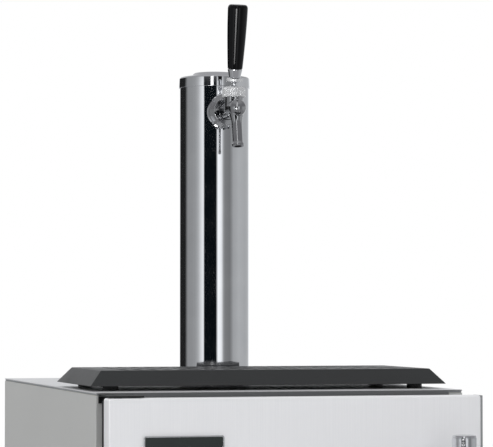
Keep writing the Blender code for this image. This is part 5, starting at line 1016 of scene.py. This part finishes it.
@dataclass
class Door:
    """The door on its hinges, with its handle and badge plate."""

    front: float = -262.5
    bottom: float = 100
    top: float = 860.2
    sheet: float = 1.0
    bend: float = 2.2
    trim: float = 1.7
    pin_radius: float = 4.3
    pin_x: float = -177
    pin_y: float = -248.5
    seal_inset: float = 1.1
    seal_width: float = 2.3
    seal_depth: float = 0.9
    handle_x: float = 150
    handle_radius: float = 12
    handle_gap: float = 40
    handle_end: float = 35.7
    handle_seam: float = 2.6
    post_radius: float = 8
    post_inset: float = 45
    badge_left: float = -155
    badge_width: float = 79
    badge_height: float = 24
    badge_drop: float = 36
    badge_border: float = 1.2
    badge_sheet: float = 1.6

    def build(self, shop: Workshop) -> None:
        """Builds and dresses every piece of the door."""
        self.build_pan(shop)
        self.build_edge_seal(shop)
        self.build_liner(shop)
        self.build_gasket(shop)
        self.build_handle(shop)
        self.build_badge(shop)
        shop.eased("upper_hinge", ENAMEL, 0.3)
        shop.eased("lower_hinge", ENAMEL, 0.3)

    def build_pan(self, shop: Workshop) -> None:
        """The folded pan, with rounded bends and the holes that the hinge pins turn in."""
        low, high = extent("door_panel")
        trim = box((high.x - self.trim - 0.5, low.y + 0.5, low.z), (high.x - 0.1, high.y, high.z), 0.3)
        shop.publish("edge_trim", trim, GREY_ABS, "door_panel")
        high.x -= self.trim + 0.1
        pan = box(low, high)
        skin = (low.y + self.sheet) * MM
        bevelled(pan, [edge for edge in pan.edges if min(v.co.y for v in edge.verts) < skin], self.bend, 6)
        sheet = Vector((1, 1, 1)) * self.sheet
        pan = combined(pan, box(low + sheet, high - sheet + Y * self.bend * 2), Operation.CUT)
        foot, length = low.z - self.bend, high.z - low.z + self.bend * 2
        pan = combined(pan, rod(self.pin_radius, (self.pin_x, self.pin_y, foot), Z, length), Operation.CUT)
        shop.publish("door_pan", pan, DOOR_STEEL, "door_panel", crease=50)

    def build_edge_seal(self, shop: Workshop) -> None:
        """The black strip that closes the door's foam all round, between pan and liner."""
        low, high = extent("door_panel")
        near, width = self.seal_inset, self.seal_width
        front, back = high.y + 0.2 - self.seal_depth, high.y + 0.2
        left, right, foot, head = low.x + near, high.x - near, low.z + near, high.z - near
        bars = [
            box((left, front, foot), (left + width, back, head)),
            box((right - width, front, foot), (right, back, head)),
            box((left + width, front, foot), (right - width, back, foot + width)),
            box((left + width, front, head - width), (right - width, back, head)),
        ]
        shop.publish("door_edge_seal", gathered(bars), NYLON, body="door")

    def build_liner(self, shop: Workshop) -> None:
        """The moulded inner part, with a pressed field behind its rim."""
        shape = shop.copy("door_liner")
        rear = max(shape.faces, key=lambda face: face.calc_area() if face.normal.y > 0.9 else 0)
        for inset, depth in ((34, 0), (4, -1.4)):
            bmesh.ops.inset_region(shape, faces=[rear], thickness=inset * MM, depth=depth * MM)
        shop.publish("door_liner_shell", ease(shape, 1.2, 3, 15), NYLON, "door_liner")

    def build_gasket(self, shop: Workshop) -> None:
        """The magnetic gasket: a soft hollow strip with a bellows round its side."""
        low, high = extent("door_gasket")
        depth = high.y - low.y
        section = [
            (0, 0), (3, 0), (3.6, 2.2), (1.6, 3.6), (3.6, 5.0), (0.4, 6.6), (0.2, 10.4), (1.4, 12.4),
            (13.6, 12.4), (14.8, 10.4), (14.6, 6.6), (11.4, 5.0), (13.4, 3.6), (11.4, 2.2), (12, 0), (15, 0),
        ]
        shape = bmesh.new()
        rings = []
        for x, x_way, z, z_way in (
            (low.x, 1, low.z, 1), (high.x, -1, low.z, 1), (high.x, -1, high.z, -1), (low.x, 1, high.z, -1)
        ):
            points = [Vector((x + x_way * w, low.y + min(rise, depth), z + z_way * w)) for w, rise in section]
            ring = [shape.verts.new(point * MM) for point in points]
            rings.append([shape.edges.new(pair) for pair in zip(ring, ring[1:] + ring[:1])])
        for one, other in zip(rings, rings[1:] + rings[:1]):
            bmesh.ops.bridge_loops(shape, edges=one + other)
        shop.publish("gasket_strip", closed(shape), GASKET, "door_gasket", crease=50)

    def build_handle(self, shop: Workshop) -> None:
        """The tube handle with its plugged ends, and two posts with collars."""
        radius, seam, post = self.handle_radius, self.handle_seam, self.post_radius
        low, high = self.bottom + self.handle_end, self.top - self.handle_end
        length = high - low
        base = Vector((self.handle_x, self.front - self.handle_gap - radius, low))
        end = [
            (0, 0), (radius * 0.7, 0.25), (radius - 0.6, 1.0), (radius - 0.3, seam - 0.3),
            (radius - 0.7, seam), (radius - 0.3, seam + 0.3), (radius, seam + 0.6),
        ]
        other_end = [(r, length - z) for r, z in reversed(end)]
        shapes = [lathe(end + other_end, base, Z, SMOOTH_SIDES, 0.15)]
        reach = radius + self.handle_gap
        collar = [
            (0, radius * 0.5), (post, radius * 0.5), (post, reach - 3.2), (post + 2.2, reach - 2.6),
            (post + 2.2, reach - 0.05), (0, reach - 0.05),
        ]
        for rise in (self.post_inset, length - self.post_inset):
            shapes.append(lathe(collar, base + Z * rise, Y, 48, 0.4))
        shop.publish("handle_bar", gathered(shapes), SATIN, "door_handle", crease=30)

    def build_badge(self, shop: Workshop) -> None:
        """The bare badge plate: a raised bright border round a dark enamel field."""
        high = self.top - self.badge_drop
        low = high - self.badge_height
        left, right = self.badge_left, self.badge_left + self.badge_width
        back = self.front - 0.3
        front = back - self.badge_sheet
        border, step = self.badge_border, 0.15
        plate = self.cornered(box((left, front, low), (right, back, high)), 2)
        face = min(plate.faces, key=lambda item: item.calc_center_median().y)
        for inset, depth in ((border, 0), (step, -0.5)):
            bmesh.ops.inset_region(plate, faces=[face], thickness=inset * MM, depth=depth * MM)
        shop.publish("badge_border", ease(plate, 0.12, 2, 40), CASE, "badge_plate")
        gap = border + step
        field = box((left + gap, front + 0.3, low + gap), (right - gap, front + 0.7, high - gap))
        shop.publish("badge_field", self.cornered(field, 1.1), BADGE_ENAMEL, "badge_plate")

    def cornered(self, plate: BMesh, radius: float) -> BMesh:
        """Rounds the four corners of a thin plate that faces the front."""
        through = [edge for edge in plate.edges if abs(edge.verts[0].co.y - edge.verts[1].co.y) > 0.2 * MM]
        return bevelled(plate, through, radius, 5)


@dataclass
class Tower:
    """The chrome column with its base ring and cap, and what stands inside it."""

    y: float = 69.5
    foot: float = 864.3
    radius: float = 38.1
    wall: float = 1.5
    height: float = 335
    fit: float = 0.3
    ring_wall: float = 2.2
    ring_height: float = 6
    cap_edge: float = 1189
    cap_wall: float = 0.8
    cap_band: float = 11.6
    cap_taper: float = 0.45
    cap_under: float = 10.6
    slope_rise: float = 2.2
    step_rise: float = 3.0
    crown_rise: float = 1.0

    def build(self, shop: Workshop) -> None:
        """Builds and dresses the tower."""
        base = Vector((0, self.y, self.foot))
        outer, inside, top = self.radius, self.radius - self.wall, self.height
        column = [(outer, 0), (outer, top), (inside, top), (inside, 0)]
        shape = lathe(column, base, Z, FINE_SIDES, 0.4, ring=True)
        shop.publish("column_tube", shape, CHROME, "tower_column")

        bore, wall, top = self.radius + self.fit, self.ring_wall, self.ring_height
        ring = [
            (bore, 0), (bore + wall, 0), (bore + wall, top * 0.5), (bore + wall - 0.5, top * 0.72),
            (bore + wall * 0.45, top * 0.94), (bore + 0.3, top), (bore, top),
        ]
        shape = lathe(ring, base, Z, FINE_SIDES, 0.25, ring=True)
        shop.publish("base_ring", shape, CHROME, "tower_base_ring")

        edge, band, rise, under = bore + self.cap_wall, self.cap_band, self.crown_rise, self.cap_under
        slope = band + self.slope_rise
        step = slope + self.step_rise
        cap = [
            (0, step + rise), (edge * 0.25, step + rise * 0.88), (edge * 0.45, step + rise * 0.45),
            (edge * 0.56, step), (edge * 0.6, step - 1.2), (edge * 0.63, slope + 0.4), (edge * 0.68, slope),
            (edge - 1.9, band + 0.2), (edge - self.cap_taper, band - 1.2), (edge, 0), (bore, 0),
            (bore, under), (0, under),
        ]
        shape = lathe(cap, (0, self.y, self.cap_edge), Z, FINE_SIDES, 0.35)
        shop.publish("cap_shell", shape, CHROME, "tower_cap")

        shop.coat(ZINC, "tower_flange")
        low, high = extent("beer_line")
        length = high.z - low.z
        hose = [(3, 0), (5.5, 0), (5.5, length), (3, length)]
        shape = lathe(hose, (0, self.y, low.z), Z, SMALL_SIDES, 0.2, ring=True)
        shop.publish("beer_line_tube", shape, VINYL, "beer_line")


@dataclass
class Tap:
    """The tap: shank, coupling nut, faucet, lever and handle."""

    tower_y: float = 69.5
    tower_radius: float = 38.1
    axis_z: float = 1160
    shank_radius: float = 10.8
    shank_bore: float = 4
    shank_start: float = 10
    shank_end: float = 46.8
    thread_pitch: float = 1.8
    thread_turns: int = 15
    flange_radius: float = 17
    flange_start: float = 30
    flange_reach: float = 43.5
    nut_reach: float = 43.8
    nut_radius: float = 19
    nut_length: float = 13.5
    nut_notches: int = 6
    tail_reach: float = 47.1
    pivot_reach: float = 84
    pivot_rise: float = 18
    nose_overreach: float = 14.5
    barrel_radius: float = 9.4
    head_radius: float = 9.8
    head_rise: float = 16.5
    spout_overreach: float = 9
    spout_lean: float = 11.0
    spout_length: float = 42
    spout_bore: float = 3.9
    bonnet_radius: float = 12.4
    bonnet_height: float = 11
    bonnet_rise: float = 12.5
    bonnet_flutes: int = 22
    lever_lean: float = 10.5
    ball_radius: float = 8
    ferrule_rise: float = 15.3
    handle_rise: float = 24.8
    handle_length: float = 68.8

    def build(self, shop: Workshop) -> None:
        """Builds and dresses the tap."""
        self.axis = Vector((0, self.tower_y, self.axis_z))
        self.head = self.axis - Y * self.pivot_reach
        self.pivot = self.head + Z * self.pivot_rise
        self.spout_axis = Vector((0, -sin(radians(self.spout_lean)), -cos(radians(self.spout_lean))))
        self.lever_axis = Vector((0, -sin(radians(self.lever_lean)), cos(radians(self.lever_lean))))
        self.build_shank(shop)
        self.build_coupling(shop)
        self.build_faucet(shop)
        self.build_bonnet(shop)
        self.build_lever(shop)
        self.build_handle(shop)

    def build_shank(self, shop: Workshop) -> None:
        """The threaded shank with its wall flange saddled on the column, nut and elbow."""
        crest, bore, start, end = self.shank_radius, self.shank_bore, self.shank_start, self.shank_end
        root = crest - 0.7
        profile = [(bore, start), (root, start)]
        for turn in range(self.thread_turns):
            reach = start + 0.6 + turn * self.thread_pitch
            profile += [(root, reach), (crest, reach + self.thread_pitch / 2)]
        profile += [(crest, end), (bore, end)]
        shank = lathe(profile, self.axis, -Y, 48, 0, ring=True)
        shop.publish("shank_thread", shank, CHROME, "tap_shank", crease=50)
        near, far, outer = self.flange_start, self.flange_reach, self.flange_radius
        disc = [(crest - 1, near), (outer, near), (outer, far - 1.6), (outer - 1.4, far), (crest - 1, far)]
        flange = lathe(disc, self.axis, -Y, SMOOTH_SIDES, 0.35, ring=True)
        middle, rim, saddle = self.tower_y * MM, (near + 2) * MM, (self.tower_radius + 0.1) * MM
        for vertex in flange.verts:
            if middle - vertex.co.y < rim:
                vertex.co.y = middle - sqrt(saddle**2 - vertex.co.x**2)
        shop.publish("wall_flange", flange, CAST_CHROME, "tap_shank")
        shop.eased("shank_nut", BRASS, 0.5, 3)
        shop.eased("shank_elbow", BRASS, 0.5, 3)

    def build_coupling(self, shop: Workshop) -> None:
        """The coupling nut: a collar with a cone, and notches for a hook spanner."""
        radius, length = self.nut_radius, self.nut_length
        inner, lip, place = 11.3, self.barrel_radius + 0.3, self.axis - Y * self.nut_reach
        profile = [
            (inner, 0), (radius - 1, 0), (radius, 1), (radius, length * 0.6), (radius - 0.6, length * 0.66),
            (radius * 0.78, length), (lip, length), (lip, length - 3), (inner, length - 3),
        ]
        collar = lathe(profile, place, -Y, 96, 0.3, ring=True)
        notches = []
        for number in range(self.nut_notches):
            notch = box((radius - 2.6, -length, -3.5), (radius + 5, length, 3.5), 0.8)
            angle = 2 * pi * number / self.nut_notches + pi / 2
            notches.append(moved(notch, turned(place - Y * length / 2, angle, "Y")))
        shape = combined(collar, gathered(notches), Operation.CUT)
        shop.publish("coupling_collar", shape, CAST_CHROME, "coupling_nut", crease=28)

    def build_faucet(self, shop: Workshop) -> None:
        """The faucet's body: barrel, head and leaning spout in one, bored through."""
        length = self.pivot_reach + self.nose_overreach - self.tail_reach
        barrel, tail = self.barrel_radius, self.axis - Y * self.tail_reach
        nose = [(barrel * cos(radians(a)), length + barrel * sin(radians(a))) for a in range(0, 90, 9)]
        profile = [(0, 0), (11, 0), (11, 7), (barrel, 7), *nose, (0, length + barrel)]
        body = lathe(profile, tail, -Y, SMOOTH_SIDES, 0.4)
        radius, rise = self.head_radius, self.head_rise
        head = lathe([(0, -2), (radius, -2), (radius, rise), (0, rise)], self.head, Z, SMOOTH_SIDES, 0.5)
        root = self.head - Y * self.spout_overreach
        funnel = [
            (0, 0), (8.4, 0), (8.35, 2.5), (8.05, 5.2), (7.45, 7.6), (6.85, 9.6), (6.3, 11.8), (5.9, 14),
            (5.62, 16.4), (5.5, 19), (5.5, 37.6), (6.5, 39.8), (6.5, 42), (0, self.spout_length),
        ]
        spout = lathe(funnel, root, self.spout_axis, SMOOTH_SIDES, 0.4)
        for added in (head, spout):
            body = combined(body, added, Operation.UNION)
        passage = [(0, -5), (7.5, -5), (7.5, 18.9), (4.5, 18.9), (4.5, 21.4), (6.3, 21.4), (6.3, 48.9)]
        cutters = [
            lathe([*passage, (0, 48.9)], tail, -Y, 40, 0),
            rod(8.4, self.head + Z * 5, Z, self.head_rise, 48),
            rod(self.spout_bore, root, self.spout_axis, self.spout_length + 5, 40),
        ]
        for cutter in cutters:
            body = combined(body, cutter, Operation.CUT)
        shop.publish("faucet_casting", body, CAST_CHROME, "faucet_body", crease=28)
        shop.coat(CAST_CHROME, "faucet_valve")

    def build_bonnet(self, shop: Workshop) -> None:
        """The bonnet that holds the lever's ball, fluted for the fingers."""
        foot = self.head + Z * self.bonnet_rise
        radius, height = self.bonnet_radius, self.bonnet_height
        profile = [
            (10.1, 0), (radius, 0), (radius, height - 2.8), (radius - 0.8, height - 1.2),
            (radius - 2.8, height), (7.4, height), (7.4, height - 1.5), (8.4, height - 1.5), (8.4, 4.3),
            (10.1, 4.3),
        ]
        bonnet = lathe(profile, foot, Z, self.bonnet_flutes * 6, 0.25, ring=True)
        flutes = []
        for number in range(self.bonnet_flutes):
            out = spoke(2 * pi * (number + 0.5) / self.bonnet_flutes, Y)
            flutes.append(rod(1.1, foot + out * (radius + 0.6) - Z * 5, Z, height + 10, 16))
        shape = combined(bonnet, gathered(flutes), Operation.CUT)
        shop.publish("bonnet_collar", shape, SATIN_AND_HIGHLIGHT_CHROME, "faucet_bonnet", crease=28)

    def build_lever(self, shop: Workshop) -> None:
        """The lever: ball, pin, neck, collar, stud and ferrule."""
        pivot, along, ball = self.pivot, self.lever_axis, self.ball_radius
        arc = [(ball * sin(radians(a)), -ball * cos(radians(a))) for a in range(0, 161, 8)]
        neck = [(2.6, 9.6), (4.2, 10.2), (7.6, 11.5), (7.6, 14.8), (4.4, 14.8), (4.4, 35), (0, 35)]
        stem = lathe(arc + neck, pivot, along, SMOOTH_SIDES, 0.5)
        shape = combined(stem, rod(1.8, pivot, -Z, self.pivot_rise + 3, 24, 0.4), Operation.UNION)
        shop.publish("lever_stem", shape, CHROME, "tap_lever")
        # The collar's bright, pale finish is a painted highlight
        collar = [(7.5, 11.6), (8.5, 11.7), (8.5, 15), (7.5, 15)]
        shape = lathe(collar, pivot, along, SMOOTH_SIDES, 0.3, ring=True)
        shop.publish("lever_collar_highlight", shape, SATIN_AND_HIGHLIGHT_CHROME, "tap_lever")
        ferrule = [(4.7, 0), (6.0, 0), (6.5, 2), (7.3, 6), (7.8, 8.3), (7.8, 9.2), (4.7, 9.2)]
        shape = lathe(ferrule, pivot + along * self.ferrule_rise, along, SMOOTH_SIDES, 0.2, ring=True)
        shop.publish("ferrule_ring", shape, CHROME, "handle_ferrule")

    def build_handle(self, shop: Workshop) -> None:
        """The turned and polished resin handle."""
        height = self.handle_length
        dome = height - 4
        profile = [(0, 12.2), (4.7, 12.2), (4.7, 0), (7.4, 0), (8.0, 0.7)]
        for step in range(1, 11):
            profile.append((8.0 + 2.8 * sin(step / 10 * pi / 2 * 0.92), step / 10 * dome))
        for step in range(1, 7):
            angle = radians(step * 15)
            profile.append((7.8 + 2.95 * cos(angle), dome + 4 * sin(angle)))
        base = self.pivot + self.lever_axis * self.handle_rise
        shape = lathe([*profile, (0, height)], base, self.lever_axis, SMOOTH_SIDES, 0)
        shop.publish("handle_grip", shape, RESIN, "tap_handle", crease=50)


class DripTray:
    """The sloped drip tray and the grid that lies in it."""

    def build(self, shop: Workshop) -> None:
        """Builds and dresses the tray and its grid."""
        shop.eased("drip_tray", TRAY_ABS, 0.9, 4)
        shop.eased("drip_tray_floor", TRAY_ABS, 0.5)
        shop.eased("drip_grid", TRAY_ABS, 0.35)


# ---------------------------------------------------------------- studio


def cool(value: float) -> tuple[float, float, float, float]:
    """A grey light with a trace of blue."""
    return value, value, value + 0.01, 1


@dataclass
class Studio:
    """Camera, soft lamps, pale floor and the surroundings that chrome mirrors, in metres."""

    camera_place: tuple[float, float, float] = (-0.673, -2.5395, 0.944)
    camera_tilt: float = 92.04
    camera_turn: float = -15.22
    lens: float = 178.5
    sensor: float = 36.0
    aim: tuple[float, float, float] = (0, 0, 0.8)
    floor_half: float = 3.0
    floor_drop: float = 0.0005

    def build(self) -> None:
        """Sets up the whole studio."""
        scene = bpy.context.scene
        scene.view_settings.view_transform = "Standard"
        self.build_camera(scene)
        self.build_world(scene)
        self.build_floor()
        self.build_lamp("key_lamp", (-2.6, -2.4, 3.2), 26.0, 2.2)
        self.build_lamp("fill_lamp", (3.0, -2.2, 1.8), 12.0, 2.0)
        self.build_lamp("top_lamp", (0.2, 0.6, 3.6), 16.0, 2.4)
        self.build_lamp("side_lamp", (-1.3, 0.1, 1.6), 6.0, 0.8)

    def build_camera(self, scene: bpy.types.Scene) -> None:
        """The camera, at the photograph's angle."""
        data = bpy.data.cameras.new("camera")
        data.lens = self.lens
        data.sensor_width = self.sensor
        made = placed("camera", data)
        made.location = self.camera_place
        made.rotation_euler = (radians(self.camera_tilt), 0, radians(self.camera_turn))
        scene.camera = made

    def build_lamp(self, name: str, place: tuple[float, float, float], power: float, size: float) -> None:
        """A square soft lamp that points at the tower's foot.

        Args:
            name: the lamp's name.
            place: where it stands.
            power: its watts.
            size: its side.
        """
        data = bpy.data.lights.new(name, "AREA")
        data.energy = power
        data.size = size
        made = placed(name, data)
        made.location = place
        made.rotation_euler = (Vector(self.aim) - Vector(place)).to_track_quat("-Z", "Y").to_euler()
        made.visible_glossy = False

    def build_floor(self) -> None:
        """A plain pale floor that mirrors don't show."""
        shape = bmesh.new()
        bmesh.ops.create_grid(shape, x_segments=1, y_segments=1, size=self.floor_half)
        bmesh.ops.translate(shape, vec=(0, 0, -self.floor_drop), verts=shape.verts)
        mesh = meshed("floor", shape)
        paint = bpy.data.materials.new("Pale studio floor")
        paint.use_nodes = True
        shader = paint.node_tree.nodes["Principled BSDF"]
        shader.inputs["Base Color"].default_value = srgb("#eeeeee")
        shader.inputs["Roughness"].default_value = 0.9
        mesh.materials.append(paint)
        made = placed("floor", mesh)
        made.visible_glossy = False

    def build_world(self, scene: bpy.types.Scene) -> None:
        """White to the eye, even to matt surfaces, and banded by dark flags to mirrors."""
        world = bpy.data.worlds.new("studio")
        scene.world = world
        world.use_nodes = True
        tree = world.node_tree
        tree.nodes.clear()
        parts = add(tree, "SeparateXYZ", {"Vector": add(tree, "TexCoord").outputs["Generated"]})
        level = parts.outputs["Z"]
        turn = add(tree, "Math", {0: parts.outputs["Y"], 1: parts.outputs["X"]}, operation="ARCTAN2")
        horizon = add(tree, "MapRange", {"Value": turn.outputs[0], "From Min": -pi, "From Max": pi})
        bands = add(tree, "ValToRGB", {"Fac": horizon.outputs["Result"]})
        self.fill_bands(bands.color_ramp)

        # Bands round the horizon, a ceiling over them, and a lighter patch overhead
        ceiling = self.layered(tree, parts.outputs["Y"], (0.3, 0.8), cool(0.26), cool(0.5))
        banded = self.layered(tree, level, (0.17, 0.23), bands.outputs["Color"], ceiling)
        overhead = self.layered(tree, level, (0.6, 0.85), banded, cool(0.4))
        # A lit window for the column's middle, and a narrow low strip for the handle's line
        window = self.patch(tree, horizon, level, (-6.5, 4.5), (0.56, 0.435))
        lit = blended(tree, window, overhead, (1.5, 1.5, 1.5, 1))
        strip = self.patch(tree, horizon, level, (-14.0, 7.5), (-0.27, 0.1))
        lined = blended(tree, strip, lit, (14, 14, 14, 1))
        mirrored = self.layered(tree, level, (-0.6, -0.2), cool(0.3), lined)

        path = add(tree, "LightPath")
        even, white, flags = (
            add(tree, "Background", {"Color": colour, "Strength": strength}).outputs[0]
            for colour, strength in (((1, 1, 1, 1), 0.9), ((1, 1, 1, 1), 1.0), (mirrored, 1.0))
        )
        seen = even
        for ray, light in (("Glossy", flags), ("Camera", white), ("Transmission", white)):
            seen = add(tree, "MixShader", {0: path.outputs[f"Is {ray} Ray"], 1: seen, 2: light}).outputs[0]
        add(tree, "OutputWorld", {"Surface": seen})

    def layered(self, tree: Any, level: Any, edge: tuple[float, float], under: Any, over: Any) -> Any:
        """Changes from one light to another over a range of heights.

        Args:
            tree: the world's node tree.
            level: the direction's height.
            edge: where the change starts and ends.
            under: the colour or socket below.
            over: the colour or socket above.

        Returns:
            The blended colour's socket.
        """
        share = add(tree, "MapRange", {"Value": level, "From Min": edge[0], "From Max": edge[1]})
        return blended(tree, share.outputs["Result"], under, over)

    def patch(
        self, tree: Any, turn: Any, level: Any, across: tuple[float, float], up: tuple[float, float]
    ) -> Any:
        """One where a direction lies in a small lit window, else nought.

        Args:
            tree: the world's node tree.
            turn: the direction's share of the horizon.
            level: the direction's height.
            across: the window's middle and half its width, in degrees right of the camera.
            up: the height of its middle and half its height.

        Returns:
            The factor's socket.
        """
        sideways = {0: turn.outputs["Result"], 1: self.share(across[0]), 2: across[1] / 360}
        beside = add(tree, "Math", sideways, operation="COMPARE")
        level_with = add(tree, "Math", {0: level, 1: up[0], 2: up[1]}, operation="COMPARE")
        both = {0: beside.outputs[0], 1: level_with.outputs[0]}
        return add(tree, "Math", both, operation="MULTIPLY").outputs[0]

    def share(self, degrees: float) -> float:
        """The share of the horizon at an angle to the right of the way towards the camera."""
        return ((-90 + self.camera_turn + degrees + 180) % 360) / 360

    def fill_bands(self, ramp: bpy.types.ColorRamp) -> None:
        """Writes the bands round the horizon, by degrees to the right of the camera's own direction."""
        stops = [
            (-178, 0.95), (-163, 0.9), (-157, 0.016), (-112, 0.016), (-98, 0.30), (-76, 0.32), (-68, 0.34),
            (-60, 0.40), (-53, 0.50), (-46, 0.74), (-40, 0.90), (-35.5, 1.0), (-32.5, 0.0045), (7, 0.0045),
            (13.5, 1.15), (24, 1.0), (32, 0.33), (38, 0.24), (54, 0.21), (60, 0.29), (67, 0.41), (90, 0.49),
            (125, 0.45), (150, 0.5), (160, 0.9), (176, 0.95),
        ]
        placed = sorted((self.share(degrees), value) for degrees, value in stops)
        while len(ramp.elements) > 1:
            ramp.elements.remove(ramp.elements[-1])
        ramp.elements[0].position = placed[0][0]
        for number, (share, value) in enumerate(placed):
            stop = ramp.elements[0] if number == 0 else ramp.elements.new(share)
            blue = 0.4 if value < 0.01 else 0.02
            stop.color = (value * (1 - blue), value, value * (1 + blue), 1)


def main() -> None:
    """Builds every sub-assembly in order, then the studio."""
    logging.basicConfig(level=logging.INFO, format="%(name)s: %(message)s")
    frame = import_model()
    shop = Workshop(frame)
    for assembly in (Cabinet(), Cooling(), GasSupply(), KegCoupler(), Door(), Tower(), Tap(), DripTray()):
        assembly.build(shop)
        LOG.info("%s is built", type(assembly).__name__)
    Studio().build()


if __name__ == "__main__":
    main()
